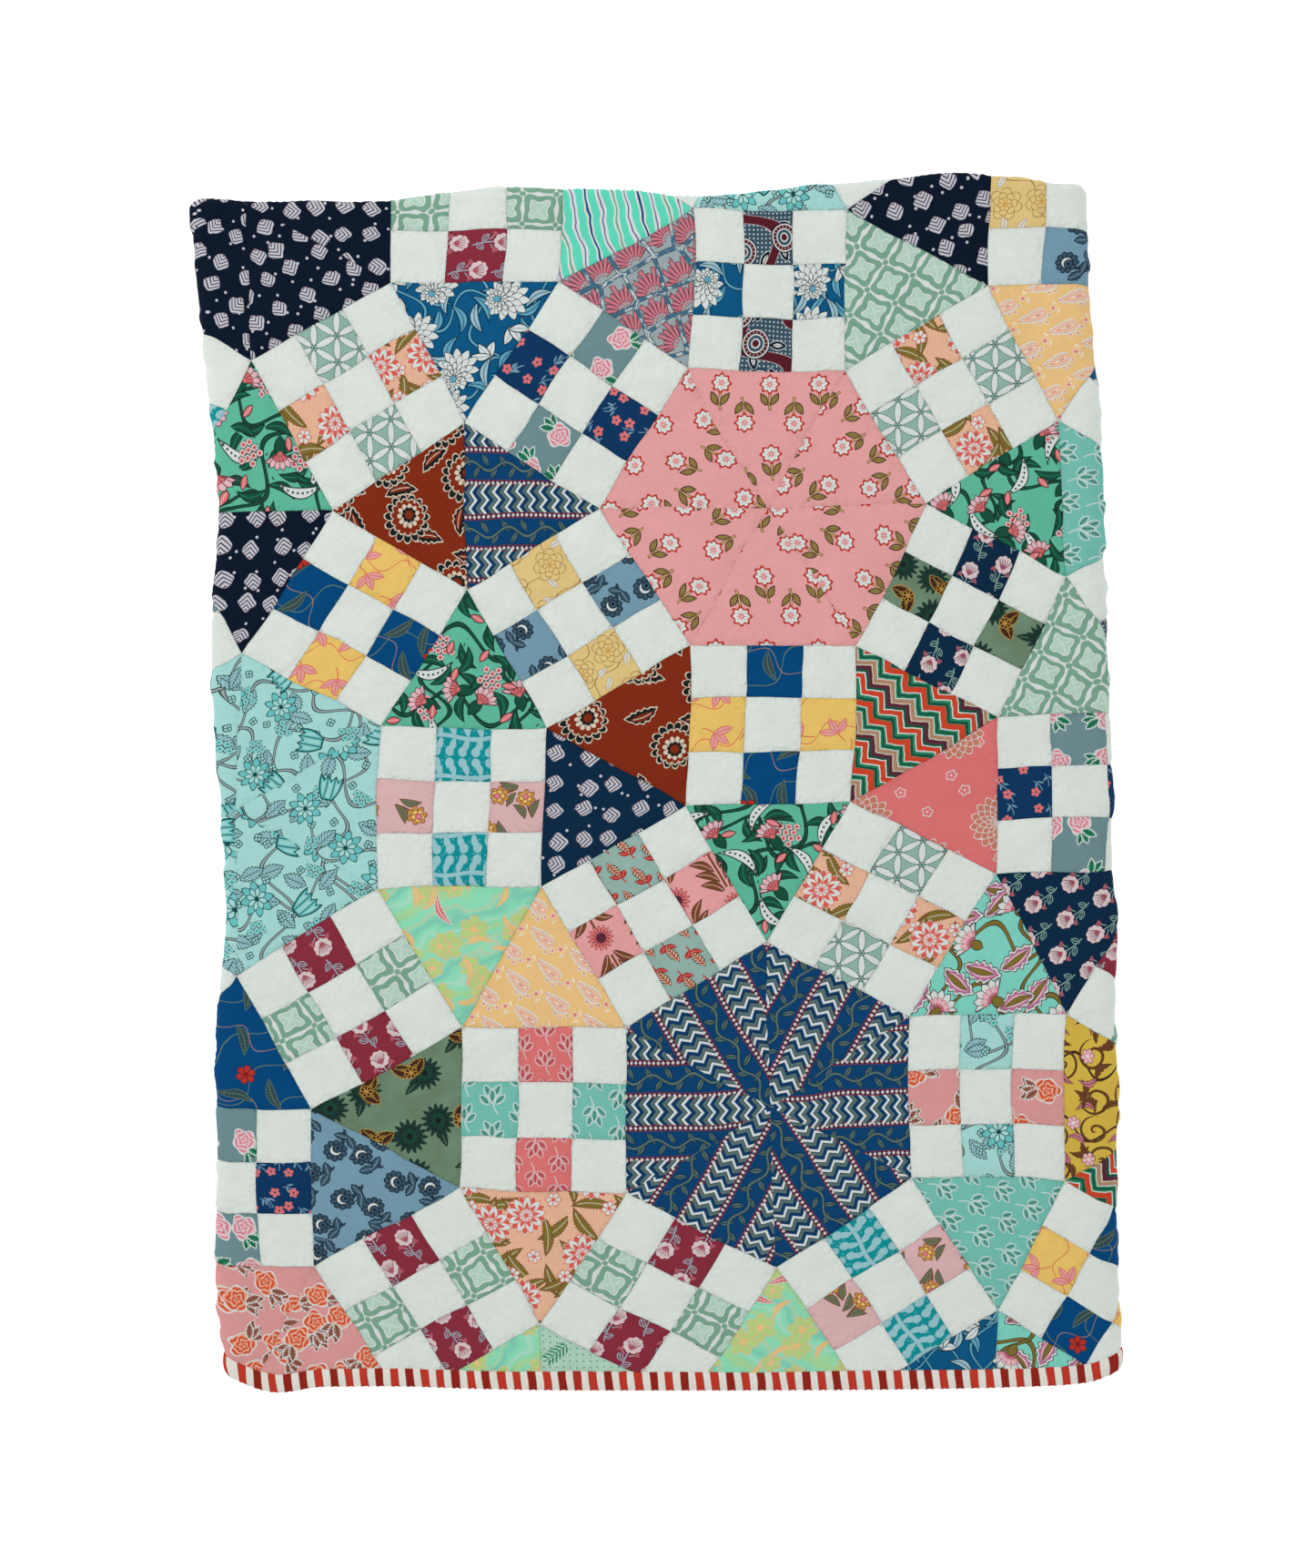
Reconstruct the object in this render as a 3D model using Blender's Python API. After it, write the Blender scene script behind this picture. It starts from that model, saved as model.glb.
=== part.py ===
"""A king-size patchwork quilt, folded in half and then in thirds, lying flat with its front up.

The sheet is modelled flat in its own coordinates: u runs across the quilt, v runs up it and n
stands out of its patchwork face. Every point is then carried through the two folds and the
uneven outline of the pile, so the six layers keep one thickness and never meet.
"""

import bmesh
import bpy
import numpy as np

# The pile seen from above, and the ideal rectangle that the folds are worked out in
PILE_LEFT = -0.424
PILE_RIGHT = 0.434
PILE_TOP = 0.570
HEM_LINE = -0.564

# Cloth
SHEET_THICK = 0.005
LAYER_PITCH = 0.007
PLY = LAYER_PITCH / 2
HALF = SHEET_THICK / 2

# Folds: the half fold at the top, then the left third behind, then the right third over it
TOP_RADIUS = PLY
LEFT_RADIUS = LAYER_PITCH
RIGHT_RADIUS = 2 * LAYER_PITCH
TOP_FOLD = PILE_TOP - TOP_RADIUS - HALF
LEFT_FOLD = PILE_LEFT + LEFT_RADIUS + PLY + HALF
RIGHT_FOLD = PILE_RIGHT - RIGHT_RADIUS - PLY - HALF
FRONT_HEIGHT = HALF + PLY + 2 * RIGHT_RADIUS
PILE_HEIGHT = FRONT_HEIGHT + PLY + HALF

# Binding: a strip folded over the raw edge, its front face level with the patchwork
BINDING_WIDTH = 0.017
BINDING_THICK = 0.0058
BINDING_CLOTH = 0.001
BINDING_ROUND = 0.0012
CLEARANCE = 0.0003
EDGE_STEP = 0.0006

# Where the side thirds and the hidden hems stop, so that only the front hem shows from above
LEFT_THIRD_SHORT = 0.006
RIGHT_THIRD_SHORT = 0.020
BACK_HEM_SHORT = 0.006
SIDE_THIRDS_IN = 0.005

# Extent of the sheet up to the binding's inner edge, in its own flat coordinates
U_LOW = LEFT_FOLD - np.pi * LEFT_RADIUS - (RIGHT_FOLD - LEFT_THIRD_SHORT - BINDING_WIDTH - LEFT_FOLD)
U_HIGH = RIGHT_FOLD + np.pi * RIGHT_RADIUS + (RIGHT_FOLD - PILE_LEFT - RIGHT_THIRD_SHORT - BINDING_WIDTH)
V_LOW = HEM_LINE
V_HIGH = TOP_FOLD + np.pi * TOP_RADIUS + (TOP_FOLD - HEM_LINE - BACK_HEM_SHORT)

# Uneven outline of the pile: columns are height y and edge x, or place x and edge y
LEFT_EDGE = [
    (-0.550, -0.416), (-0.497, -0.422), (-0.374, -0.422), (-0.204, -0.421), (-0.138, -0.414),
    (-0.030, -0.418), (0.114, -0.428), (0.284, -0.422), (0.431, -0.437), (0.548, -0.448),
]
RIGHT_EDGE = [
    (-0.522, 0.447), (-0.453, 0.442), (-0.295, 0.443), (-0.188, 0.441), (-0.148, 0.443),
    (-0.078, 0.438), (0.018, 0.437), (0.200, 0.430), (0.378, 0.424), (0.445, 0.418), (0.541, 0.413),
]
TOP_EDGE = [
    (-0.418, 0.561), (-0.256, 0.558), (-0.141, 0.570), (-0.071, 0.570), (0.077, 0.564),
    (0.181, 0.573), (0.319, 0.584), (0.373, 0.581), (0.408, 0.574),
]
HEM_EDGE = [
    (-0.411, -0.561), (-0.347, -0.567), (-0.186, -0.565), (0.016, -0.563), (0.225, -0.564),
    (0.325, -0.563), (0.410, -0.557), (0.446, -0.548),
]

# Swell of the pile: part of the height, waves a metre across and up, and turn of the wave
SWELLS = [(0.030, 1.3, 0.6, 0.4), (0.022, -0.8, 1.9, 1.7), (0.014, 2.6, 1.4, 3.1)]
HEM_DROOP = 0.08
HEM_DROOP_REACH = 0.16

# How finely each stretch of the sheet is divided
MIDDLE_CELLS = 16
SIDE_CELLS = 9
LEFT_FOLD_CELLS = 6
RIGHT_FOLD_CELLS = 8
FRONT_CELLS = 16
TOP_FOLD_CELLS = 5
BACK_CELLS = 11

SHEET_COLOUR = (0.42, 0.40, 0.42, 1.0)
BINDING_COLOUR = (0.66, 0.36, 0.33, 1.0)


def smooth_step(t):
    """Ease from 0 to 1 as t does."""
    t = np.clip(t, 0.0, 1.0)
    return t * t * (3.0 - 2.0 * t)


def along(table, t):
    """Read a smooth edge from its table of points."""
    places, values = np.array(table).T
    slopes = np.gradient(values, places)
    t = np.clip(t, places[0], places[-1])
    k = np.clip(np.searchsorted(places, t, side="right") - 1, 0, len(places) - 2)
    span = places[k + 1] - places[k]
    s = (t - places[k]) / span
    rise = smooth_step(s)
    lead = s * (1.0 - s) ** 2 * span * slopes[k]
    trail = s * s * (s - 1.0) * span * slopes[k + 1]
    return values[k] * (1.0 - rise) + values[k + 1] * rise + lead + trail


def fold_in_half(v, n):
    """Carry the flat sheet over the top fold: height y and rise w above the middle of the plies."""
    past = v - TOP_FOLD
    arc = np.pi * TOP_RADIUS
    angle = np.clip(past, 0.0, arc) / TOP_RADIUS
    radius = TOP_RADIUS + n
    y = TOP_FOLD + radius * np.sin(angle) + np.minimum(past, 0.0) - np.maximum(past - arc, 0.0)
    return y, radius * np.cos(angle)


def fold_in_thirds(u, w):
    """Carry the doubled sheet round the side folds: place x and height z."""
    on_right = u > 0.5 * (LEFT_FOLD + RIGHT_FOLD)
    side = np.where(on_right, 1.0, -1.0)
    fold = np.where(on_right, RIGHT_FOLD, LEFT_FOLD)
    turn = np.where(on_right, RIGHT_RADIUS, LEFT_RADIUS)
    past = (u - fold) * side
    arc = np.pi * turn
    angle = np.clip(past, 0.0, arc) / turn
    radius = turn + w
    out = radius * np.sin(angle) + np.minimum(past, 0.0) - np.maximum(past - arc, 0.0)
    return fold + side * out, FRONT_HEIGHT - turn + radius * np.cos(angle)


def side_third(u):
    """0 on the middle third, 1 on the thirds folded behind it."""
    left = (LEFT_FOLD - u) / (np.pi * LEFT_RADIUS)
    right = (u - RIGHT_FOLD) / (np.pi * RIGHT_RADIUS)
    return smooth_step(np.maximum(left, right))


def shape_outline(x, y):
    """Move the ideal pile's rectangle to its real, uneven outline."""
    rise = (y - HEM_LINE) / (PILE_TOP - HEM_LINE)
    hem = along(HEM_EDGE, x)
    real_y = hem + rise * (along(TOP_EDGE, x) - hem)
    across = (x - PILE_LEFT) / (PILE_RIGHT - PILE_LEFT)
    left = along(LEFT_EDGE, real_y)
    return left + across * (along(RIGHT_EDGE, real_y) - left), real_y


def swell(x, y):
    """Local height of the pile as a share of its usual height."""
    share = 1.0 - HEM_DROOP * smooth_step(1.0 - (y - HEM_LINE) / HEM_DROOP_REACH)
    for part, across, up, turn in SWELLS:
        share = share + part * np.sin(2.0 * np.pi * (across * x + up * y) + turn)
    return share


def folded(flat):
    """Carry rows of flat (u, v, n) points to their places in the folded quilt."""
    u, v, n = np.array(flat).T
    y, w = fold_in_half(v, n)
    y = y * (1.0 - SIDE_THIRDS_IN / PILE_TOP * side_third(u))
    x, z = fold_in_thirds(u, w)
    x, y = shape_outline(x, y)
    return np.column_stack([x, y, z * swell(x, y)])


def stretches(*marks_and_cells):
    """Stations from mark to mark, given as mark, cells, mark, cells, mark."""
    marks = marks_and_cells[0::2]
    cells = marks_and_cells[1::2]
    stations = [marks[0]]
    for start, end, count in zip(marks, marks[1:], cells):
        stations.extend(np.linspace(start, end, count + 1)[1:])
    return stations


def across_stations():
    """Stations across the flat sheet, which are closer on the side folds."""
    return stretches(
        U_LOW + EDGE_STEP, SIDE_CELLS,
        LEFT_FOLD - np.pi * LEFT_RADIUS, LEFT_FOLD_CELLS,
        LEFT_FOLD, MIDDLE_CELLS,
        RIGHT_FOLD, RIGHT_FOLD_CELLS,
        RIGHT_FOLD + np.pi * RIGHT_RADIUS, SIDE_CELLS,
        U_HIGH - EDGE_STEP,
    )


def up_stations():
    """Stations up the flat sheet, which are closer on the top fold."""
    return stretches(
        V_LOW + EDGE_STEP, FRONT_CELLS,
        TOP_FOLD, TOP_FOLD_CELLS,
        TOP_FOLD + np.pi * TOP_RADIUS, BACK_CELLS,
        V_HIGH - EDGE_STEP,
    )


def with_margins(stations):
    """Add the raw edge that the binding hides, at both ends of a row of stations."""
    margin = BINDING_WIDTH - BINDING_CLOTH - CLEARANCE
    low = [stations[0] - EDGE_STEP - margin, stations[0] - CLEARANCE]
    high = [stations[-1] + CLEARANCE, stations[-1] + EDGE_STEP + margin]
    return low + stations + high


def grid_face(mesh, us, vs, full, pressed):
    """One face of the sheet as a grid, with its margins pressed thin for the binding."""
    columns = len(us) - 1
    rows = len(vs) - 1
    grid = bmesh.ops.create_grid(mesh, x_segments=columns, y_segments=rows, size=1.0)
    flat = []
    for vert in grid["verts"]:
        i = round((vert.co.x + 1.0) * columns / 2.0)
        j = round((vert.co.y + 1.0) * rows / 2.0)
        in_margin = min(i, j, columns - i, rows - j) < 2
        flat.append((us[i], vs[j], pressed if in_margin else full))
    for vert, place in zip(grid["verts"], folded(flat)):
        vert.co = place
    return {face for vert in grid["verts"] for face in vert.link_faces}


def quilt_mesh():
    """The whole quilted sheet: patchwork face, back face and the raw edge between them."""
    us = with_margins(across_stations())
    vs = with_margins(up_stations())
    front_pressed = HALF - BINDING_CLOTH - CLEARANCE
    back_pressed = HALF - BINDING_THICK + BINDING_CLOTH + CLEARANCE
    mesh = bmesh.new()
    grid_face(mesh, us, vs, HALF, front_pressed)
    back = grid_face(mesh, us, vs, -HALF, back_pressed)
    bmesh.ops.reverse_faces(mesh, faces=list(back))
    rim = [edge for edge in mesh.edges if edge.is_boundary]
    bmesh.ops.bridge_loops(mesh, edges=rim)
    return mesh


def binding_section():
    """Outline of the folded strip: columns are distance out from the sheet and rise n."""
    front = HALF
    back = HALF - BINDING_THICK
    outer = BINDING_WIDTH
    inner = BINDING_WIDTH - BINDING_CLOTH
    shoulder = BINDING_WIDTH - BINDING_ROUND
    return [
        (0.0, front), (shoulder, front), (outer, front - BINDING_ROUND),
        (outer, back + BINDING_ROUND), (shoulder, back), (0.0, back),
        (0.0, back + BINDING_CLOTH), (inner, back + BINDING_CLOTH),
        (inner, front - BINDING_CLOTH), (0.0, front - BINDING_CLOTH),
    ]


def edge_loop():
    """Stations round the quilt's edge, each with its outward direction, mitred at the corners."""
    us = across_stations()
    vs = up_stations()
    loop = [(U_LOW, V_LOW, -1, -1)] + [(u, V_LOW, 0, -1) for u in us]
    loop += [(U_HIGH, V_LOW, 1, -1)] + [(U_HIGH, v, 1, 0) for v in vs]
    loop += [(U_HIGH, V_HIGH, 1, 1)] + [(u, V_HIGH, 0, 1) for u in reversed(us)]
    loop += [(U_LOW, V_HIGH, -1, 1)] + [(U_LOW, v, -1, 0) for v in reversed(vs)]
    return loop


def binding_mesh():
    """The binding: its section carried round the whole edge as one closed strip."""
    section = binding_section()
    mesh = bmesh.new()
    rings = []
    for u, v, out_u, out_v in edge_loop():
        flat = [(u + out * out_u, v + out * out_v, n) for out, n in section]
        rings.append([mesh.verts.new(place) for place in folded(flat)])
    for ring, ahead in zip(rings, rings[1:] + rings[:1]):
        for k in range(len(section)):
            m = (k + 1) % len(section)
            mesh.faces.new((ring[k], ahead[k], ahead[m], ring[m]))
    bmesh.ops.recalc_face_normals(mesh, faces=mesh.faces)
    return mesh


def cloth_material(name, colour):
    """A soft matt cotton finish."""
    material = bpy.data.materials.new(name)
    material.use_nodes = True
    shader = material.node_tree.nodes["Principled BSDF"]
    shader.inputs["Base Color"].default_value = colour
    shader.inputs["Roughness"].default_value = 0.9
    shader.inputs["Metallic"].default_value = 0.0
    return material


def add_piece(name, mesh, colour, collection):
    """Turn a mesh into a named object with its own material."""
    data = bpy.data.meshes.new(name)
    mesh.to_mesh(data)
    mesh.free()
    data.shade_smooth()
    data.set_sharp_from_angle(angle=np.radians(50.0))
    data.materials.append(cloth_material(name, colour))
    piece = bpy.data.objects.new(name, data)
    collection.objects.link(piece)
    return piece


def main():
    """Clear the scene and build the folded quilt."""
    for thing in list(bpy.data.objects):
        bpy.data.objects.remove(thing, do_unlink=True)
    collection = bpy.data.collections.new("patchwork_quilt")
    bpy.context.scene.collection.children.link(collection)
    add_piece("quilt_sheet", quilt_mesh(), SHEET_COLOUR, collection)
    add_piece("binding", binding_mesh(), BINDING_COLOUR, collection)


main()
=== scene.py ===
"""The looks of a folded patchwork quilt: pieced prints, striped binding, soft studio light."""

import math

import bpy
import mathutils
import numpy as np
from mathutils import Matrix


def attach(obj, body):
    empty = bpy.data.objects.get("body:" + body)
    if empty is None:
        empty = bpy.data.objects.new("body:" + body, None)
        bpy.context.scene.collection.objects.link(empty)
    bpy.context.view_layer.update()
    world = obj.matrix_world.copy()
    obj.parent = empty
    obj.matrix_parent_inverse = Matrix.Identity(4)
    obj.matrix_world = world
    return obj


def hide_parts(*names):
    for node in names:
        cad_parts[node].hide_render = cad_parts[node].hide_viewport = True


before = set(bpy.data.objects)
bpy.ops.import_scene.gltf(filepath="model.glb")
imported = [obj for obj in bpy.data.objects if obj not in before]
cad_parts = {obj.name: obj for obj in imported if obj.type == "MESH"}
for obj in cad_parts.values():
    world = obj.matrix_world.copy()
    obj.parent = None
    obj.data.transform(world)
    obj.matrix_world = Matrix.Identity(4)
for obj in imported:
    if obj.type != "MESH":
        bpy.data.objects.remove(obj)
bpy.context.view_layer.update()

# The pile seen from above, and the ideal rectangle that the folds are worked out in
PILE_LEFT = -0.424
PILE_RIGHT = 0.434
PILE_TOP = 0.570
HEM_LINE = -0.564

# Cloth, folds and binding, as the frame has them
SHEET_THICK = 0.005
LAYER_PITCH = 0.007
PLY = LAYER_PITCH / 2
HALF = SHEET_THICK / 2
TOP_RADIUS = PLY
LEFT_RADIUS = LAYER_PITCH
RIGHT_RADIUS = 2 * LAYER_PITCH
TOP_FOLD = PILE_TOP - TOP_RADIUS - HALF
LEFT_FOLD = PILE_LEFT + LEFT_RADIUS + PLY + HALF
RIGHT_FOLD = PILE_RIGHT - RIGHT_RADIUS - PLY - HALF
FRONT_HEIGHT = HALF + PLY + 2 * RIGHT_RADIUS
BINDING_WIDTH = 0.017
BINDING_THICK = 0.0058
LEFT_THIRD_SHORT = 0.006
RIGHT_THIRD_SHORT = 0.020
BACK_HEM_SHORT = 0.006
SIDE_THIRDS_IN = 0.005
GROUND_GAP = 0.0002
U_LOW = LEFT_FOLD - np.pi * LEFT_RADIUS - (RIGHT_FOLD - LEFT_THIRD_SHORT - BINDING_WIDTH - LEFT_FOLD)
U_HIGH = RIGHT_FOLD + np.pi * RIGHT_RADIUS + (RIGHT_FOLD - PILE_LEFT - RIGHT_THIRD_SHORT - BINDING_WIDTH)
V_LOW = HEM_LINE
V_HIGH = TOP_FOLD + np.pi * TOP_RADIUS + (TOP_FOLD - HEM_LINE - BACK_HEM_SHORT)
OPEN_SIZE = (U_HIGH - U_LOW + 2 * BINDING_WIDTH, V_HIGH - V_LOW + 2 * BINDING_WIDTH)
SIDE_FOLDS = [
    (LEFT_FOLD - np.pi * LEFT_RADIUS, LEFT_FOLD),
    (RIGHT_FOLD, RIGHT_FOLD + np.pi * RIGHT_RADIUS),
]
TOP_FOLDS = [(TOP_FOLD, TOP_FOLD + np.pi * TOP_RADIUS)]
FOLD_STATIONS = 14

# Uneven outline of the pile: columns are height y and edge x, or place x and edge y
LEFT_EDGE = [
    (-0.550, -0.416), (-0.497, -0.422), (-0.374, -0.422), (-0.204, -0.421), (-0.138, -0.414),
    (-0.030, -0.418), (0.114, -0.428), (0.284, -0.422), (0.431, -0.437), (0.548, -0.448),
]
RIGHT_EDGE = [
    (-0.522, 0.447), (-0.453, 0.442), (-0.295, 0.443), (-0.188, 0.441), (-0.148, 0.443),
    (-0.078, 0.438), (0.018, 0.437), (0.200, 0.430), (0.378, 0.424), (0.445, 0.418), (0.541, 0.413),
]
TOP_EDGE = [
    (-0.418, 0.561), (-0.256, 0.558), (-0.141, 0.570), (-0.071, 0.570), (0.077, 0.564),
    (0.181, 0.573), (0.319, 0.584), (0.373, 0.581), (0.408, 0.574),
]
HEM_EDGE = [
    (-0.424, -0.548), (-0.408, -0.5545), (-0.390, -0.5615), (-0.376, -0.5645), (-0.357, -0.5635),
    (-0.341, -0.5605), (-0.300, -0.559), (-0.250, -0.559), (-0.186, -0.561), (0.016, -0.563),
    (0.225, -0.5615), (0.326, -0.5595), (0.354, -0.5585), (0.382, -0.557), (0.406, -0.5535),
    (0.416, -0.550), (0.428, -0.546), (0.438, -0.543), (0.446, -0.540),
]
SWELLS = [(0.030, 1.3, 0.6, 0.4), (0.022, -0.8, 1.9, 1.7), (0.014, 2.6, 1.4, 3.1)]
HEM_DROOP = 0.08
HEM_DROOP_REACH = 0.16

# Piecing: every hexagon, square and triangle has the same edge, and dodecagons share their edges
EDGE = 0.1524
PATCH = EDGE / 3
APART = EDGE * (2 + math.sqrt(3))
FIRST_CENTRE = (0.101, 0.265)
FINE_CELLS = 12
COARSE_CELLS = 4
FRONT_MARGIN = 0.07
EDGE_TUCK = 0.001
SAME_PLACE = 1e-6

# Relief of the sewn cloth: heights, and how far from a seam or a fold each of them reaches
SEAM_RISE = 0.0015
LEAST_RISE = 0.6 * SEAM_RISE
PRESSED = 0.0007
PUFF = 0.0009
PUFF_REACH = 0.0035
PILLOW = 0.0008
PILLOW_REACH = 0.018
PUCKER = 0.0004
PUCKER_REACH = 0.006
CRINKLE = 0.0007
CRINKLE_REACH = 0.012
LUMP = 0.0008
BUNCH = 0.0024
BUNCH_LOW = -0.3
BUNCH_STRETCH = 0.3
LEFT_BUNCH_REACH = 0.012
RIGHT_BUNCH_REACH = 0.018
TOP_BUNCH_REACH = 0.008

# Backing: a thin sheet whose edge lies inside the binding
BACKING_TUCK = 0.006
BACKING_TOP = 0.0002
BACKING_DIP = 0.0006
BACKING_RIM = 0.008
BACKING_STEP = 0.011
BACKING_SPAN = (2.6, 5.2)
CLEAR_OF_SEAMS = 30.0

# Binding: its section is given by distance out from the raw edge and rise; bars are in mm
BINDING_FRONT = [(-0.0010, 0.0012), (0.0004, 0.0024), (0.0035, 0.0031), (0.0080, 0.0034), (0.0125, 0.0030)]
BINDING_LIP = 0.003
BINDING_LIP_RISE = 0.0024
BINDING_STEP = 0.0024
BINDING_PUFF = 0.10
BINDING_BULGE = 0.06
BINDING_STRIPS = 14
CORNER_ROUND = 0.012
BAR_PITCH = 14.5
BAR_WIDTH = 6.9

# Ripples in the cloth: the size of their lumps and the seed of their random heights
RIPPLES = {
    "wander across": (0.043, 21), "wander up": (0.043, 22), "shake across": (0.018, 41),
    "shake up": (0.018, 42), "pucker": (0.007, 3), "crinkle": (0.019, 5), "lump": (0.085, 7),
    "bunch": (0.013, 9), "wadding": (0.021, 11), "binding": (0.013, 17),
}
RIPPLE_KNOTS = 64

# Each patch is cut from its own part of the cloth: a step in mm, a jump and a count of steps
CUT_STEPS = ((37.0, 5, 17), (41.0, 7, 13))

# Cells of the piecing: all that the cloth may reach, and those near the measured corners
CELL_COLUMNS = range(-4, 5)
CELL_ROWS = range(-5, 5)
SEEN_COLUMNS = range(-2, 3)
SEEN_ROWS = range(-2, 4)

# Camera and light
VIEW_HEIGHT = 1.5007
VIEW_LEVEL = 0.034
VIEW_FROM = 3.0
AIR_LIGHT = 1.0
KEY_POWER = 32.0
KEY_PLACE = (-1.6, 1.9, 2.4)
KEY_SIZE = 1.5
CLOTH_TONE = 0.85
FLOOR_GLOW = 0.4
FLOOR_TONE = (250 / 255) ** 2.2
FLOOR_SIZE = 12.0
SENSOR = 36.0
WHITE = (1.0, 1.0, 1.0, 1.0)

# Where the piecing's corners really lie, across and up: it isn't quite even
PIECED_CORNERS = [
    (-0.257, 0.478), (-0.388, 0.404), (-0.093, 0.480), (-0.184, 0.345), (-0.311, 0.260),
    (0.035, 0.549), (0.180, 0.549), (0.029, 0.397), (0.179, 0.395), (0.315, 0.477),
    (0.320, 0.584), (0.384, 0.347), (0.256, 0.270), (-0.182, 0.186), (-0.265, 0.056),
    (-0.397, 0.123), (-0.057, 0.262), (-0.104, 0.050), (0.392, 0.197), (0.197, 0.134),
    (0.324, 0.065), (0.031, 0.136), (0.186, 0.130), (0.028, -0.021), (0.183, -0.017),
    (-0.269, -0.100), (-0.111, -0.096), (-0.185, -0.233), (-0.031, -0.234), (-0.402, -0.182),
    (-0.331, -0.311), (0.105, -0.151), (0.326, -0.086), (0.239, -0.222), (0.390, -0.219),
    (-0.188, -0.387), (-0.030, -0.391), (-0.327, -0.461), (-0.111, -0.517), (0.243, -0.377),
    (0.391, -0.379), (0.115, -0.461), (0.325, -0.504),
]
CORNER_REACH = 0.030
WARP_REACH = 0.24
WARP_EASE = 0.02
SEAM_WANDER = 0.0016
SEAM_SHAKE = 0.0006

# Piecing plan: a cell's hexagon, its squares by direction (print out and in, print at the sides),
# its triangles by direction, and the two single triangles between three cells
PLAN = {
    (0, 0): {
        "hexagon": "pink_sprig",
        "squares": {
            90: ("medallion", "blue_chintz"), 150: ("blue_buds", "grey_rose"),
            210: ("slate_flower", "gold_flower"), 270: ("royal_branch", "yellow_flower"),
            330: ("olive_flower", "navy_carnation"), 30: ("star_petal", "peach_blossom"),
        },
        "triangles": {
            120: "ginkgo_fan", 60: "trellis", 0: "green_chintz", 300: "zigzag",
            240: "rust_flower", 180: "vine_stripe",
        },
        "gaps": {0: "green_sprig", 300: "coral_dahlia"},
    },
    (0, 1): {
        "hexagon": "vine_stripe",
        "squares": {
            180: ("green_sprig", "coral_sprig"), 0: ("salmon_rose", "aqua_vine"),
            120: ("wheat_bud", "pink_sunflower"), 60: ("star_petal", "peach_blossom"),
            240: ("maroon_carnation", "trellis"), 300: ("teal_leaf", "pink_marigold"),
        },
        "triangles": {
            90: "green_chintz", 30: "turquoise_leaf", 330: "green_sprig", 270: "mint_bloom",
            210: "peach_blossom", 150: "paisley",
        },
        "gaps": {0: "mustard_vine", 300: "blue_chintz"},
    },
    (-1, 1): {
        "hexagon": "aqua_vine",
        "squares": {
            0: ("pink_marigold", "teal_leaf"), 60: ("yellow_flower", "royal_branch"),
            300: ("maroon_carnation", "trellis"),
        },
        "triangles": {90: "navy_shell", 30: "green_chintz", 330: "mint_bloom", 270: "royal_branch"},
        "gaps": {0: "blue_shell", 300: "olive_flower"},
    },
    (-1, 0): {
        "hexagon": "navy_shell",
        "squares": {
            0: ("trellis", "maroon_carnation"), 300: ("star_petal", "peach_blossom"),
            240: ("coral_sprig", "teal_leaf"),
        },
        "triangles": {330: "blue_chintz", 270: "green_chintz"},
        "gaps": {0: "wave_stripe", 300: "rust_flower"},
    },
    (1, -1): {
        "hexagon": "blue_shell",
        "squares": {180: ("gold_flower", "slate_flower"), 240: ("medallion", "blue_chintz")},
        "triangles": {210: "paisley"},
    },
    (1, 0): {
        "hexagon": "salmon_rose",
        "squares": {
            180: ("blue_buds", "grey_rose"), 120: ("blue_chintz", "medallion"),
            240: ("trellis", "maroon_carnation"),
        },
        "triangles": {150: "trellis", 210: "navy_carnation"},
    },
    (-1, 2): {
        "hexagon": "salmon_rose",
        "squares": {90: ("grey_rose", "blue_buds"), 30: ("trellis", "maroon_carnation")},
        "triangles": {60: "slate_flower", 0: "mint_bloom"},
        "gaps": {0: "fern"},
    },
    (1, 1): {
        "hexagon": "pink_sprig",
        "squares": {150: ("yellow_flower", "royal_branch"), 90: ("blue_buds", "grey_rose")},
        "triangles": {120: "zigzag", 180: "turquoise_leaf"},
    },
    (0, -1): {
        "hexagon": "vine_stripe",
        "triangles": {270: "aqua_vine"},
        "gaps": {300: "navy_shell"},
    },
}

# What the unseen cells are pieced from, taken in turn
MORE_HEXAGONS = ["navy_shell", "aqua_vine", "pink_sprig", "vine_stripe", "salmon_rose", "green_chintz"]
MORE_PAIRS = [
    ("star_petal", "peach_blossom"), ("maroon_carnation", "trellis"), ("blue_buds", "grey_rose"),
    ("yellow_flower", "royal_branch"), ("gold_flower", "slate_flower"), ("medallion", "blue_chintz"),
    ("teal_leaf", "pink_marigold"),
]
MORE_TRIANGLES = [
    "green_chintz", "rust_flower", "trellis", "paisley", "navy_carnation", "mint_bloom", "zigzag",
    "peach_blossom", "turquoise_leaf", "coral_dahlia", "slate_flower", "olive_flower",
]


def smooth_step(t):
    """Ease from 0 to 1 as t does."""
    t = np.clip(t, 0.0, 1.0)
    return t * t * (3.0 - 2.0 * t)


def along(table, t):
    """Read a smooth edge from its table of points."""
    places, values = np.array(table).T
    slopes = np.gradient(values, places)
    t = np.clip(t, places[0], places[-1])
    k = np.clip(np.searchsorted(places, t, side="right") - 1, 0, len(places) - 2)
    span = places[k + 1] - places[k]
    s = (t - places[k]) / span
    rise = smooth_step(s)
    lead = s * (1.0 - s) ** 2 * span * slopes[k]
    trail = s * s * (s - 1.0) * span * slopes[k + 1]
    return values[k] * (1.0 - rise) + values[k + 1] * rise + lead + trail


def fold_in_half(v, n):
    """Carry the flat sheet over the top fold: height y and rise w above the middle of the plies."""
    past = v - TOP_FOLD
    arc = np.pi * TOP_RADIUS
    angle = np.clip(past, 0.0, arc) / TOP_RADIUS
    radius = TOP_RADIUS + n
    y = TOP_FOLD + radius * np.sin(angle) + np.minimum(past, 0.0) - np.maximum(past - arc, 0.0)
    return y, radius * np.cos(angle)


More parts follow.
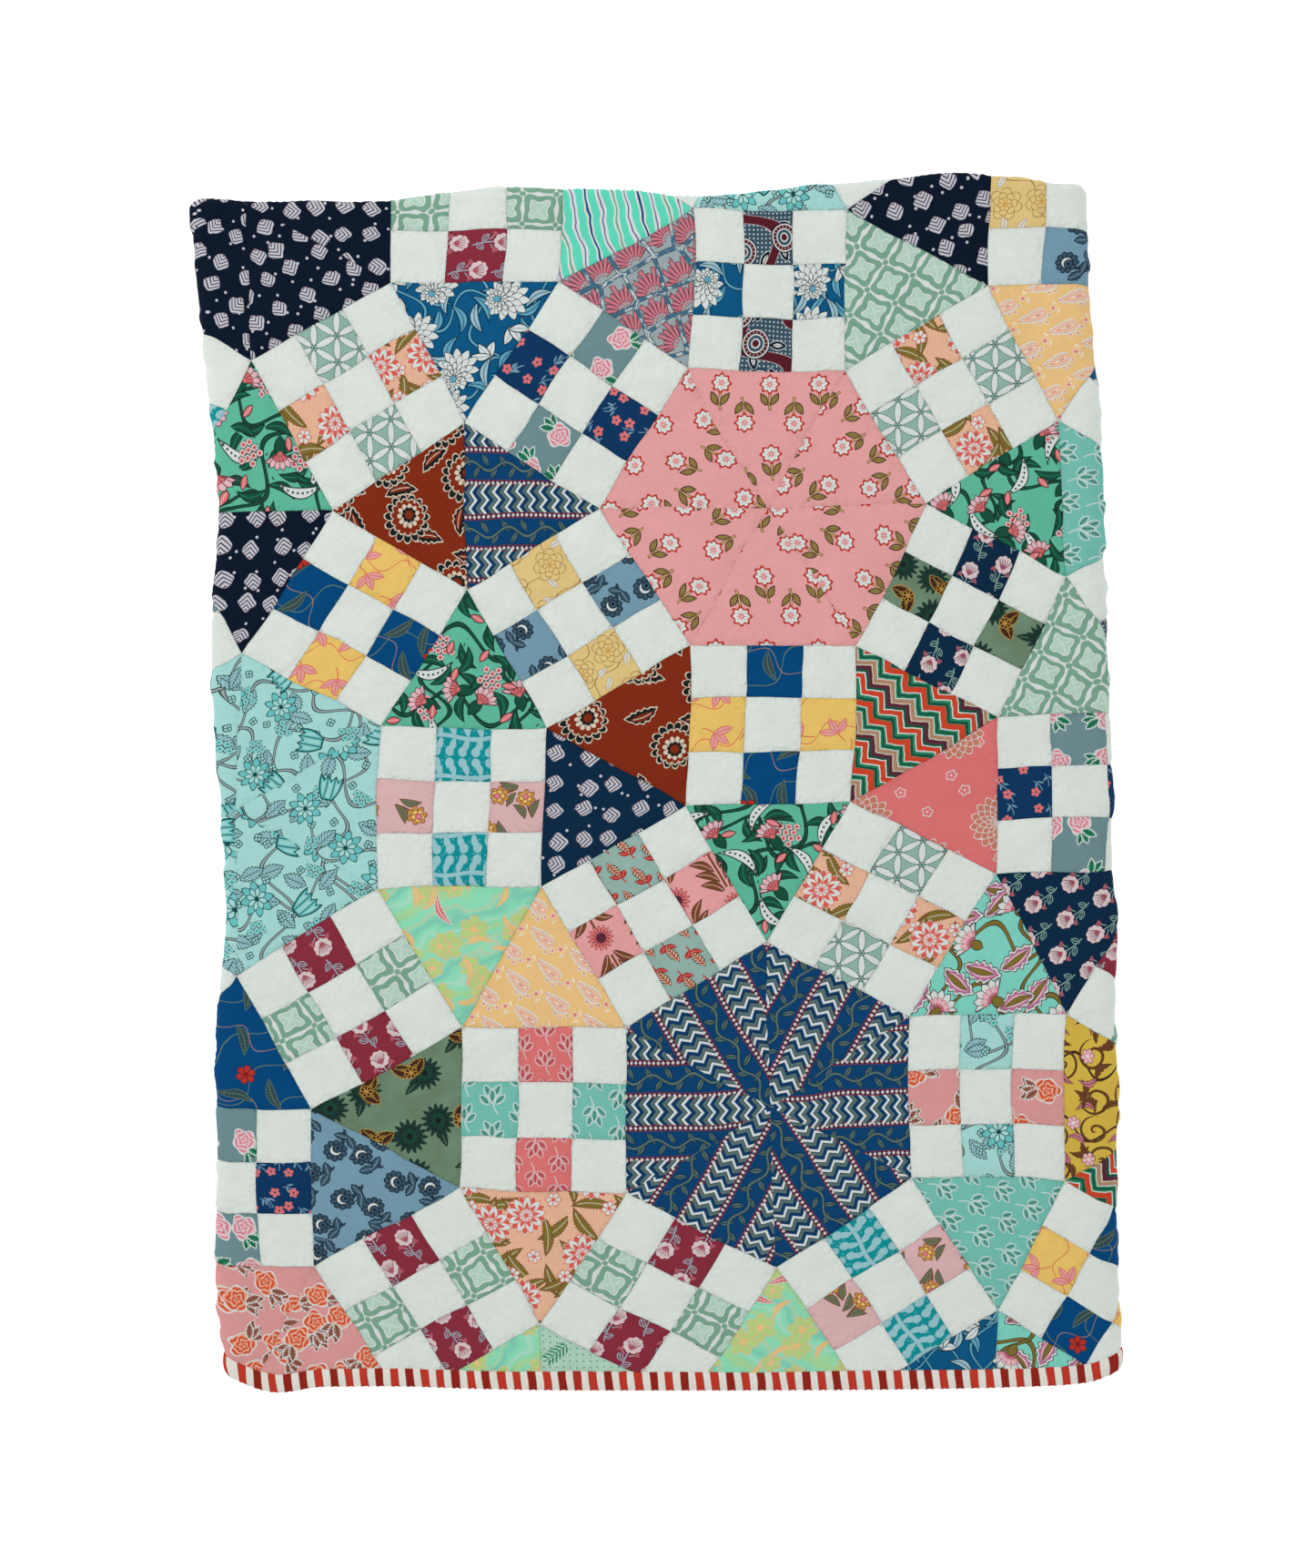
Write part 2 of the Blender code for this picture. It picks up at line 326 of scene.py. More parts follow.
def fold_in_thirds(u, w):
    """Carry the doubled sheet round the side folds: place x and height z."""
    on_right = u > 0.5 * (LEFT_FOLD + RIGHT_FOLD)
    side = np.where(on_right, 1.0, -1.0)
    fold = np.where(on_right, RIGHT_FOLD, LEFT_FOLD)
    turn = np.where(on_right, RIGHT_RADIUS, LEFT_RADIUS)
    past = (u - fold) * side
    arc = np.pi * turn
    angle = np.clip(past, 0.0, arc) / turn
    radius = turn + w
    out = radius * np.sin(angle) + np.minimum(past, 0.0) - np.maximum(past - arc, 0.0)
    return fold + side * out, FRONT_HEIGHT - turn + radius * np.cos(angle)


def side_third(u):
    """0 on the middle third, 1 on the thirds folded behind it."""
    left = (LEFT_FOLD - u) / (np.pi * LEFT_RADIUS)
    right = (u - RIGHT_FOLD) / (np.pi * RIGHT_RADIUS)
    return smooth_step(np.maximum(left, right))


def shape_outline(x, y):
    """Move the ideal pile's rectangle to its real, uneven outline."""
    rise = (y - HEM_LINE) / (PILE_TOP - HEM_LINE)
    hem = along(HEM_EDGE, x)
    real_y = hem + rise * (along(TOP_EDGE, x) - hem)
    across = (x - PILE_LEFT) / (PILE_RIGHT - PILE_LEFT)
    left = along(LEFT_EDGE, real_y)
    return left + across * (along(RIGHT_EDGE, real_y) - left), real_y


def square_up(x, y):
    """The flat (u, v) of the cloth that shows at a place on the real pile's front."""
    left = along(LEFT_EDGE, y)
    u = PILE_LEFT + (x - left) / (along(RIGHT_EDGE, y) - left) * (PILE_RIGHT - PILE_LEFT)
    hem = along(HEM_EDGE, u)
    return u, HEM_LINE + (y - hem) / (along(TOP_EDGE, u) - hem) * (PILE_TOP - HEM_LINE)


def swell(x, y):
    """Local height of the pile as a share of its usual height."""
    share = 1.0 - HEM_DROOP * smooth_step(1.0 - (y - HEM_LINE) / HEM_DROOP_REACH)
    for part, across, up, turn in SWELLS:
        share = share + part * np.sin(2.0 * np.pi * (across * x + up * y) + turn)
    return share


def folded(u, v, n):
    """Carry flat points to their places in the folded quilt, none of them below the ground."""
    y, w = fold_in_half(v, n)
    y = y * (1.0 - SIDE_THIRDS_IN / PILE_TOP * side_third(u))
    x, z = fold_in_thirds(u, w)
    x, y = shape_outline(x, y)
    return np.column_stack([x, y, np.maximum(z * swell(x, y), GROUND_GAP)])


def ripple(x, y, name):
    """Smooth random relief between -1 and 1."""
    size, seed = RIPPLES[name]
    rng = np.random.default_rng(seed)
    steps = RIPPLE_KNOTS
    knots = rng.uniform(-1.0, 1.0, (steps, steps))
    column = x / size
    row = y / size
    i = np.floor(column).astype(int)
    j = np.floor(row).astype(int)
    s = smooth_step(column - i)
    t = smooth_step(row - j)
    low = knots[i % steps, j % steps] * (1 - s) + knots[(i + 1) % steps, j % steps] * s
    high = knots[i % steps, (j + 1) % steps] * (1 - s) + knots[(i + 1) % steps, (j + 1) % steps] * s
    return low * (1 - t) + high * t


def towards(degrees, length=1.0):
    """A step of this length in a direction, in the plane of the piecing."""
    angle = math.radians(degrees)
    return np.array([math.cos(angle), math.sin(angle)]) * length


def cell_centre(i, j):
    """Middle of a hexagon in the piecing."""
    return np.array([
        FIRST_CENTRE[0] + APART * math.cos(math.radians(30)) * i,
        FIRST_CENTRE[1] - APART * (0.5 * i + j),
    ])


def pick(choices, *numbers):
    """Take one of the choices in a scattered but fixed order."""
    return choices[sum(int(n) * m for n, m in zip(numbers, (7, 11, 5, 3))) % len(choices)]


def cell_patches(i, j):
    """The patches of a cell: print, corners, direction of the grain, and the middle its seams share."""
    plan = PLAN.get((i, j), {})
    centre = cell_centre(i, j)
    first = 0 if (i - j) % 3 == 0 else 30
    hexagon = plan.get("hexagon", pick(MORE_HEXAGONS, i, j))
    patches = []
    for k in range(6):
        start = (first + 60 * k) % 360
        middle = (start + 30) % 360
        low = centre + towards(start, EDGE)
        high = centre + towards(start + 60, EDGE)
        patches.append((hexagon, [centre, low, high], middle, centre))
        pair = plan.get("squares", {}).get(middle, pick(MORE_PAIRS, i, j, k))
        patches += nine_patch(low, high, towards(middle, PATCH), pair, middle)
        name = plan.get("triangles", {}).get(start, pick(MORE_TRIANGLES, i, j, k))
        corners = [low, low + towards(start - 30, EDGE), low + towards(start + 30, EDGE)]
        patches.append((name, corners, start, None))
    for direction in (0, 300):
        name = plan.get("gaps", {}).get(direction, pick(MORE_TRIANGLES, j, i, direction // 60))
        middle = centre + towards(direction, APART / math.sqrt(3))
        corners = [middle + towards(direction + turn, EDGE / math.sqrt(3)) for turn in (0, 120, 240)]
        patches.append((name, corners, direction, None))
    return patches


def nine_patch(low, high, out, pair, direction):
    """Nine small squares: plain at the corners and the middle, two prints in turn between them."""
    side = (high - low) / 3
    patches = []
    for row in range(3):
        for column in range(3):
            name = "plain" if (row + column) % 2 == 0 else pair[0 if column == 1 else 1]
            corner = low + out * row + side * column
            square = [corner, corner + out, corner + out + side, corner + side]
            patches.append((name, square, direction, None))
    return patches


def corner_shifts():
    """How far each measured corner lies from its place in an even piecing."""
    ideal = np.array([
        corner
        for i in SEEN_COLUMNS for j in SEEN_ROWS
        for _, corners, _, _ in cell_patches(i, j) for corner in corners
    ])
    places = []
    shifts = []
    for measured in np.array(PIECED_CORNERS):
        gaps = ideal - measured
        nearest = ideal[np.argmin((gaps ** 2).sum(axis=1))]
        if np.linalg.norm(nearest - measured) < CORNER_REACH:
            places.append(nearest)
            shifts.append(measured - nearest)
    return np.array(places), np.array(shifts)


def closeness(points, places):
    """How much each place sways each point."""
    gap = np.linalg.norm(points[:, None, :] - places[None, :, :], axis=2)
    return np.exp(-((gap / WARP_REACH) ** 2))


class Piecing:
    """The uneven piecing: it moves even points to where the sewn cloth really has them."""

    def __init__(self):
        self.places, shifts = corner_shifts()
        sway = closeness(self.places, self.places)
        self.weights = np.linalg.solve(sway + WARP_EASE * np.eye(len(sway)), shifts)

    def moved(self, points):
        """Where even points lie in the sewn cloth."""
        x, y = points.T
        wander = [
            SEAM_WANDER * ripple(x, y, "wander " + way) + SEAM_SHAKE * ripple(x, y, "shake " + way)
            for way in ("across", "up")
        ]
        return points + closeness(points, self.places) @ self.weights + np.column_stack(wander)


def pairs(first, second):
    """Each of the first with each of the second, as two long arrays."""
    return (part.ravel() for part in np.meshgrid(first, second, indexing="ij"))


def patch_grid(corners, cells):
    """A fine grid of points over a patch, and its triangles."""
    corners = np.array(corners)
    if len(corners) == 4:
        s, t = (part[:, None] / cells for part in pairs(range(cells + 1), range(cells + 1)))
        low = corners[0] * (1 - s) + corners[1] * s
        high = corners[3] * (1 - s) + corners[2] * s
        points = low * (1 - t) + high * t
        i, j = pairs(range(cells), range(cells))
        a = i * (cells + 1) + j
        b = a + cells + 1
        faces = np.concatenate([np.column_stack([a, b, b + 1]), np.column_stack([a, b + 1, a + 1])])
        return points, faces
    rows = [(i, j) for i in range(cells + 1) for j in range(cells + 1 - i)]
    number = {pair: k for k, pair in enumerate(rows)}
    s, t = np.array(rows).T[:, :, None] / cells
    points = corners[0] + (corners[1] - corners[0]) * s + (corners[2] - corners[0]) * t
    faces = [(number[i, j], number[i + 1, j], number[i, j + 1]) for i, j in rows if i + j < cells]
    faces += [(number[i, j], number[i - 1, j], number[i, j - 1]) for i, j in rows if i and j]
    return points, np.array(faces)


def seam_distance(points, corners, heart):
    """Distance from the patch's nearest edge, where seams that meet at a heart are pressed flatter."""
    corners = np.array(corners)
    nearest = np.full(len(points), np.inf)
    for start, end in zip(corners, np.roll(corners, -1, axis=0)):
        run = (end - start) / np.linalg.norm(end - start)
        away = points - start
        pressed = heart is not None and min(math.dist(start, heart), math.dist(end, heart)) < SAME_PLACE
        gap = np.abs(away[:, 0] * run[1] - away[:, 1] * run[0]) + (PRESSED if pressed else 0.0)
        nearest = np.minimum(nearest, gap)
    return nearest


def facing_up(corners):
    """The corners in the order that makes the patch face up."""
    corners = np.array(corners)
    ahead = np.roll(corners, -1, axis=0)
    area = (corners[:, 0] * ahead[:, 1] - corners[:, 1] * ahead[:, 0]).sum()
    return corners if area > 0 else corners[::-1]


def trimmed(u, v):
    """Keep cloth inside the quilt's raw edge, which the binding covers."""
    u = np.clip(u, U_LOW - EDGE_TUCK, U_HIGH + EDGE_TUCK)
    return u, np.clip(v, V_LOW - EDGE_TUCK, V_HIGH + EDGE_TUCK)


def edge_distance(u, v):
    """Distance in from the quilt's own edge."""
    return np.minimum(np.minimum(u - U_LOW, U_HIGH - u), np.minimum(v - V_LOW, V_HIGH - v))


def fold_closeness(u, v):
    """1 on the outermost line of a fold, falling off to each side of it."""
    left = (u - LEFT_FOLD + 0.5 * np.pi * LEFT_RADIUS) / LEFT_BUNCH_REACH
    right = (u - RIGHT_FOLD - 0.5 * np.pi * RIGHT_RADIUS) / RIGHT_BUNCH_REACH
    top = (v - TOP_FOLD - 0.5 * np.pi * TOP_RADIUS) / TOP_BUNCH_REACH
    return np.exp(-(left ** 2)) + np.exp(-(right ** 2)) + np.exp(-(top ** 2))


def relief(u, v, depth, lively):
    """Height of the patchwork over the middle of its ply, from its distance to the nearest seam."""
    rise = SEAM_RISE + PUFF * (1.0 - np.exp(-depth / PUFF_REACH))
    rise = rise + PILLOW * (1.0 - np.exp(-depth / PILLOW_REACH))
    rise = rise + PUCKER * ripple(u, v, "pucker") * np.exp(-depth / PUCKER_REACH)
    if lively:
        slanted = ripple(u + 0.3 * v, v - 0.2 * u, "crinkle")
        gathers = np.maximum(ripple(u * BUNCH_STRETCH, v, "bunch"), BUNCH_LOW)
        rise = rise + CRINKLE * slanted * smooth_step(depth / CRINKLE_REACH)
        rise = rise + LUMP * ripple(u, v, "lump")
        rise = rise + BUNCH * gathers * fold_closeness(u, v)
    return np.maximum(rise, LEAST_RISE)


class Patch:
    """One cut piece of cloth: its folded points, its faces and where its print lies."""

    def __init__(self, piecing, name, corners, direction, number, heart):
        self.name = name
        self.corners = facing_up(corners)
        flat = square_up(*piecing.moved(self.corners).T)
        self.in_cloth = bool((edge_distance(*flat) > 0.0).any())
        u, v = flat
        middle_third = (u > LEFT_FOLD - FRONT_MARGIN) & (u < RIGHT_FOLD + FRONT_MARGIN)
        self.in_front = bool((middle_third & (v < TOP_FOLD + FRONT_MARGIN)).any())
        if self.in_cloth:
            self.sew(piecing, direction, number, heart)

    def sew(self, piecing, direction, number, heart):
        """Cut the patch from its cloth and carry it to its place in the pile."""
        small = len(self.corners) == 4
        cells = (FINE_CELLS if self.in_front else COARSE_CELLS) * (1 if small else 3)
        points, faces = patch_grid(self.corners, cells)
        u, v = square_up(*piecing.moved(points).T)
        inside_u, inside_v = trimmed(u, v)
        points = points + np.column_stack([inside_u - u, inside_v - v])
        depth = np.minimum(seam_distance(points, self.corners, heart), np.maximum(edge_distance(u, v), 0.0))
        self.places = folded(inside_u, inside_v, relief(inside_u, inside_v, depth, self.in_front))
        keep = (edge_distance(u, v)[faces] > -EDGE_TUCK).any(axis=1)
        self.faces = faces[keep]
        turn = math.radians(direction - 90 + 90 * (number % 4 if small else 0))
        middle = self.corners.mean(axis=0)
        across = points - middle
        self.cloth = np.column_stack([
            across @ np.array([math.cos(turn), math.sin(turn)]),
            across @ np.array([-math.sin(turn), math.cos(turn)]),
            depth,
        ]) * 1000.0
        self.local = self.cloth[:, :2].copy()
        for axis, (step, jump, count) in enumerate(CUT_STEPS):
            self.cloth[:, axis] += step * (number * jump % count)


def shelf_layout(patches, gap=3.0):
    """Lay patches side by side in rows, so that each has its own place in a texture."""
    sizes = [patch.local.max(axis=0) - patch.local.min(axis=0) + gap for patch in patches]
    order = sorted(range(len(patches)), key=lambda k: -sizes[k][1])
    width = max(math.sqrt(sum(w * h for w, h in sizes)) * 1.05, max(w for w, _ in sizes))
    places = [None] * len(patches)
    x = y = tall = 0.0
    for k in order:
        if x + sizes[k][0] > width:
            x = 0.0
            y += tall
            tall = 0.0
        places[k] = patches[k].local - patches[k].local.min(axis=0) + (x + gap / 2, y + gap / 2)
        x += sizes[k][0]
        tall = max(tall, sizes[k][1])
    span = max(width, y + tall)
    return [place / span for place in places]


def mesh_piece(name, places, faces, materials, chosen=None):
    """A smooth named mesh that rides with the quilt."""
    data = bpy.data.meshes.new(name)
    data.from_pydata(places.tolist(), [], [list(map(int, face)) for face in faces])
    data.shade_smooth()
    for material in materials:
        data.materials.append(material)
    if chosen is not None:
        data.polygons.foreach_set("material_index", np.array(chosen, dtype=np.int32))
    piece = bpy.data.objects.new(name, data)
    bpy.context.scene.collection.objects.link(piece)
    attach(piece, "root")
    return piece


def note_cloth(piece, cloth):
    """Store where each point lies on its own cloth: across, up and distance from a seam, in mm."""
    layer = piece.data.attributes.new("cloth", "FLOAT_VECTOR", "POINT")
    layer.data.foreach_set("vector", np.asarray(cloth, dtype=np.float32).ravel())


def at_corners(piece, points):
    """What each corner of each face has, from what each point has."""
    corner = np.empty(len(piece.data.loops), dtype=np.int32)
    piece.data.loops.foreach_get("vertex_index", corner)
    return np.asarray(points, dtype=np.float32)[corner]


def lay_out_bake(piece, spots):
    """Give each corner of each face its own place in a texture."""
    layer = piece.data.uv_layers.new(name="OFBake")
    layer.data.foreach_set("uv", np.asarray(spots, dtype=np.float32).ravel())


def sew_piece(name, own, materials):
    """Several patches as one named piece."""
    names = sorted({patch.name for patch in own})
    starts = np.cumsum([0] + [len(patch.places) for patch in own])
    places = np.concatenate([patch.places for patch in own])
    faces = np.concatenate([patch.faces + start for patch, start in zip(own, starts)])
    chosen = np.concatenate([np.full(len(patch.faces), names.index(patch.name)) for patch in own])
    piece = mesh_piece(name, places, faces, [materials[own_name] for own_name in names], chosen)
    note_cloth(piece, np.concatenate([patch.cloth for patch in own]))
    lay_out_bake(piece, at_corners(piece, np.concatenate(shelf_layout(own))))
    return piece


def sew_patchwork(materials):
    """All patches: one piece for each print in front, and one for what lies folded inside."""
    piecing = Piecing()
    patches = []
    for i in CELL_COLUMNS:
        for j in CELL_ROWS:
            for number, (name, corners, direction, heart) in enumerate(cell_patches(i, j)):
                patch = Patch(piecing, name, corners, direction, number + 3 * i + 5 * j, heart)
                if patch.in_cloth and len(patch.faces):
                    patches.append(patch)
    front = [patch for patch in patches if patch.in_front]
    pieces = [
        sew_piece("patches_" + name, [patch for patch in front if patch.name == name], materials)
        for name in sorted({patch.name for patch in front})
    ]
    inner = [patch for patch in patches if not patch.in_front]
    return pieces + [sew_piece("patches_folded_in", inner, materials)]


def stations(low, high, step, fold_marks):
    """Places from low to high, closer together on the folds."""
    marks = np.arange(0.0, high - low, step) + low
    extra = [np.linspace(start, end, FOLD_STATIONS) for start, end in fold_marks]
    return np.unique(np.round(np.concatenate([marks, [high], *extra]), 6))


def grid_rim(columns, rows):
    """The points round the edge of a grid, in order."""
    last = columns - 1
    rim = [k * rows for k in range(columns)]
    rim += [last * rows + k for k in range(1, rows)]
    rim += [k * rows + rows - 1 for k in range(last - 1, -1, -1)]
    rim += list(range(rows - 2, 0, -1))
    return np.array(rim)


def lay_backing(material):
    """The plain back and the wadding as one thin closed sheet, with its edge inside the binding."""
    us = stations(U_LOW - BACKING_TUCK, U_HIGH + BACKING_TUCK, BACKING_STEP, SIDE_FOLDS)
    vs = stations(V_LOW - BACKING_TUCK, V_HIGH + BACKING_TUCK, BACKING_STEP, TOP_FOLDS)
    u, v = pairs(us, vs)
    rim = smooth_step((edge_distance(u, v) + BACKING_TUCK) / BACKING_RIM)
    top = BACKING_TOP - BACKING_DIP * (1.0 - rim)
    low = -HALF - BACKING_DIP * ripple(u, v, "wadding") * rim
    places = np.concatenate([folded(u, v, top), folded(u, v, low)])
    count = len(u)
    rows = len(vs)
    i, j = pairs(range(len(us) - 1), range(rows - 1))
    a = i * rows + j
    faces = np.column_stack([a, a + rows, a + rows + 1, a + 1])
    under = faces[:, ::-1] + count
    ring = grid_rim(len(us), rows)
    ahead = np.roll(ring, -1)
    wall = np.column_stack([ring, ring + count, ahead + count, ahead])
    piece = mesh_piece("backing", places, np.concatenate([faces, under, wall]), [material])
    cloth = np.column_stack([u * 1000.0, v * 1000.0, np.full(count, CLEAR_OF_SEAMS)])
    note_cloth(piece, np.concatenate([cloth, cloth]))
    spot = (np.column_stack([u, v]) - (U_LOW, V_LOW)) / BACKING_SPAN
    lay_out_bake(piece, at_corners(piece, np.concatenate([spot, spot + (0.0, 0.5)]) * 0.98 + 0.005))
    return piece


def binding_outline():
    """Section of the puffed binding: distance out from the raw edge and rise n."""
    middle = BINDING_WIDTH - BINDING_LIP
    turns = [math.radians(turn) for turn in (60, 25, 0, -25, -60)]
    lip = [(middle + BINDING_LIP * math.cos(turn), BINDING_LIP_RISE * math.sin(turn)) for turn in turns]
    back = [(out, -min(rise, BINDING_THICK / 2)) for out, rise in reversed(BINDING_FRONT)]
    return BINDING_FRONT + lip + back


def binding_ring():
    """Stations round the quilt's edge with the way out, rounded at the corners."""
    us = stations(U_LOW + CORNER_ROUND, U_HIGH - CORNER_ROUND, BINDING_STEP, SIDE_FOLDS)
    vs = stations(V_LOW + CORNER_ROUND, V_HIGH - CORNER_ROUND, BINDING_STEP, TOP_FOLDS)
    ring = []
    sides = (
        (V_LOW, us, (0, -1)), (U_HIGH, vs, (1, 0)), (V_HIGH, us[::-1], (0, 1)), (U_LOW, vs[::-1], (-1, 0)),
    )
    for fixed, line, out in sides:
        for place in line:
            spot = (place, fixed) if out[1] else (fixed, place)
            ring.append((*spot, *out))
        start = math.degrees(math.atan2(out[1], out[0]))
        u, v = ring[-1][:2]
        centre = np.array([u, v]) - np.array(out) * CORNER_ROUND
        for turn in (18, 36, 54, 72):
            way = towards(start + turn)
            ring.append((*(centre + way * CORNER_ROUND), *way))
    return ring


def binding_places(outline, ring, travel):
    """The binding's points and their places on its cloth, one station after another."""
    puff = 1.0 + BINDING_PUFF * ripple(travel, travel * 0.0, "binding")
    bulge = 1.0 + BINDING_BULGE * np.abs(np.sin(np.pi * travel / (BAR_PITCH / 2000.0)))
    rows = []
    cloth = []
    around = 0.0
    for k, (out, rise) in enumerate(outline):
        u = ring[:, 0] + out * bulge * ring[:, 2]
        v = ring[:, 1] + out * bulge * ring[:, 3]
        rows.append(folded(u, v, rise * puff))
        if k:
            around += math.dist(outline[k], outline[k - 1])
        cloth.append(np.column_stack([travel, np.full(len(ring), around), np.full(len(ring), out)]) * 1000)
    return np.stack(rows, axis=1).reshape(-1, 3), np.stack(cloth, axis=1).reshape(-1, 3)


def binding_strips(travel, run, station, low, high):
    """The binding's places in a texture: its length is cut into strips that lie side by side."""
    ends = travel + run
    per = ends[-1] / BINDING_STRIPS
    strip = np.minimum((travel + 0.5 * run) // per, BINDING_STRIPS - 1)[station]
    spots = [
        np.column_stack([
            (place[station] - strip * per) / per * 0.94 + 0.03,
            (strip + 0.05 + 0.9 * up) / BINDING_STRIPS,
        ])
        for place, up in ((travel, low), (travel, high), (ends, high), (ends, low))
    ]
    return np.stack(spots, axis=1)


def sew_binding(material):
    """The striped binding: its puffed section carried round the whole edge as one closed strip."""
    outline = binding_outline()
    ring = np.array(binding_ring())
    run = np.linalg.norm(np.roll(ring[:, :2], -1, axis=0) - ring[:, :2], axis=1)
    travel = np.concatenate([[0.0], np.cumsum(run)[:-1]])
    places, cloth = binding_places(outline, ring, travel)
    count = len(outline)
    station, side = pairs(range(len(ring)), range(count))
    ahead = (station + 1) % len(ring)
    beside = (side + 1) % count
    faces = np.column_stack([
        station * count + side, station * count + beside, ahead * count + beside, ahead * count + side,
    ])
    piece = mesh_piece("striped_binding", places, faces, [material])
    note_cloth(piece, cloth)
    lay_out_bake(piece, binding_strips(travel, run, station, side / count, side / count + 1.0 / count))
    return piece


# The cotton's finish and its painted shade, in mm: sizes of its slubs, clouds, creases and gathers, and how
# far the gathers and the ditches reach from a seam; creases, ditches and gathers are also painted as shade.
# Its threads wave by so many radians a mm
SLUB = 2.2
CLOUD = 31.0
CREASE = 24.0
GATHER = 5.5
GATHER_REACH = 6.25
DITCH = 1 / 1.8
THREADS = 9.0

# A whole turn in radians: waves and curls in the motifs are given by the length of one
TURN = 6.283

# Inks of the prints, as they look in even daylight
INKS = {
    "white": (208, 214, 211), "cream": (206, 194, 174), "blush": (208, 190, 192), "black": (26, 30, 32),
    "navy": (9, 22, 40), "midnight": (9, 40, 66), "deep_blue": (12, 52, 92), "cobalt": (8, 62, 107),
    "royal": (2, 68, 118), "bright_blue": (10, 83, 126), "sky": (92, 158, 184), "pale_sky": (150, 184, 196),
    "slate": (113, 149, 168), "slate_dark": (32, 60, 74), "steel": (56, 80, 96), "silver": (146, 190, 196),
    "teal": (12, 140, 146), "aqua": (160, 209, 204), "turquoise": (122, 202, 186), "mint": (92, 210, 180),
    "mint_water": (136, 214, 178), "pale_mint": (170, 203, 184), "sage": (138, 174, 160),
    "leaf": (118, 160, 137), "green": (92, 178, 150), "sea_green": (112, 184, 171),
    "mid_green": (36, 126, 92), "dark_green": (22, 76, 58), "moss": (100, 120, 96), "forest": (28, 56, 48),
    "olive": (122, 106, 46), "grey": (148, 163, 165), "grey_blue": (106, 136, 140),
    "wheat": (142, 173, 165), "lime": (176, 204, 126), "pink": (220, 156, 155),
    "dusty_pink": (212, 173, 174), "rose": (206, 112, 128), "light_pink": (218, 176, 182),
    "salmon": (209, 147, 145), "coral": (208, 92, 78), "coral_red": (212, 111, 111), "red": (178, 50, 40),
    "maroon": (131, 44, 60), "wine": (84, 28, 38), "rust": (125, 42, 20), "orange": (222, 130, 92),
    "orange_red": (196, 66, 40), "peach": (222, 174, 144), "apricot": (226, 187, 126),
    "yellow": (226, 189, 103), "gold": (217, 190, 126), "mustard": (204, 174, 70), "ochre": (188, 142, 62),
    "tan": (166, 130, 104), "brown": (112, 70, 38), "dark_brown": (60, 36, 28), "purple": (112, 104, 152),
    "orchid": (178, 104, 144), "grape": (88, 38, 56), "plain": (214, 221, 215), "brick": (186, 54, 38),
    "oxblood": (128, 32, 22), "binding_cream": (219, 216, 208), "shell_white": (194, 192, 200),
    "lagoon": (104, 186, 186), "pale_olive": (146, 132, 72), "pale_apricot": (228, 210, 184),
    "fern": (84, 108, 106), "deep_teal": (14, 70, 72), "light_coral": (220, 146, 120),
    "clay": (150, 94, 78), "bright_dusk": (66, 104, 130), "dahlia": (190, 118, 100),
    "dusty_rose": (196, 118, 130),
}


def linear(colour):
    """An ink's colour as light, from the way it is seen."""
    shares = [c / 255 for c in colour]
    return (*[c / 12.92 if c < 0.04045 else ((c + 0.055) / 1.055) ** 2.4 for c in shares], 1.0)


class Value:
    """A number that varies over the cloth: sums on it add Math nodes."""

    def __init__(self, paint, socket):
        self.paint = paint
        self.socket = socket

    def __add__(self, other):
        return self.paint.maths("ADD", self, other)

    def __radd__(self, other):
        return self.paint.maths("ADD", other, self)

    def __sub__(self, other):
        return self.paint.maths("SUBTRACT", self, other)

    def __rsub__(self, other):
        return self.paint.maths("SUBTRACT", other, self)

    def __mul__(self, other):
        return self.paint.maths("MULTIPLY", self, other)

    def __rmul__(self, other):
        return self.paint.maths("MULTIPLY", other, self)

    def __truediv__(self, other):
        return self.paint.maths("DIVIDE", self, other)

    def __rtruediv__(self, other):
        return self.paint.maths("DIVIDE", other, self)

    def __neg__(self):
        return self.paint.maths("MULTIPLY", self, -1.0)

    def __abs__(self):
        return self.paint.maths("ABSOLUTE", self)

    def sin(self):
        return self.paint.maths("SINE", self)

    def cos(self):
        return self.paint.maths("COSINE", self)

    def floor(self):
        return self.paint.maths("FLOOR", self)

    def share(self):
        return self.paint.maths("FRACT", self)

    def root(self):
        return self.paint.maths("SQRT", self)

    def power(self, index):
        return self.paint.maths("POWER", self, index)

    def most(self, other):
        return self.paint.maths("MAXIMUM", self, other)


def fill(tree, node, inputs):
    """Set a node's sockets: a value that varies is linked, any other is set on the socket."""
    for key, value in inputs.items():
        if isinstance(value, Value):
            tree.links.new(value.socket, node.inputs[key])
        else:
            node.inputs[key].default_value = value


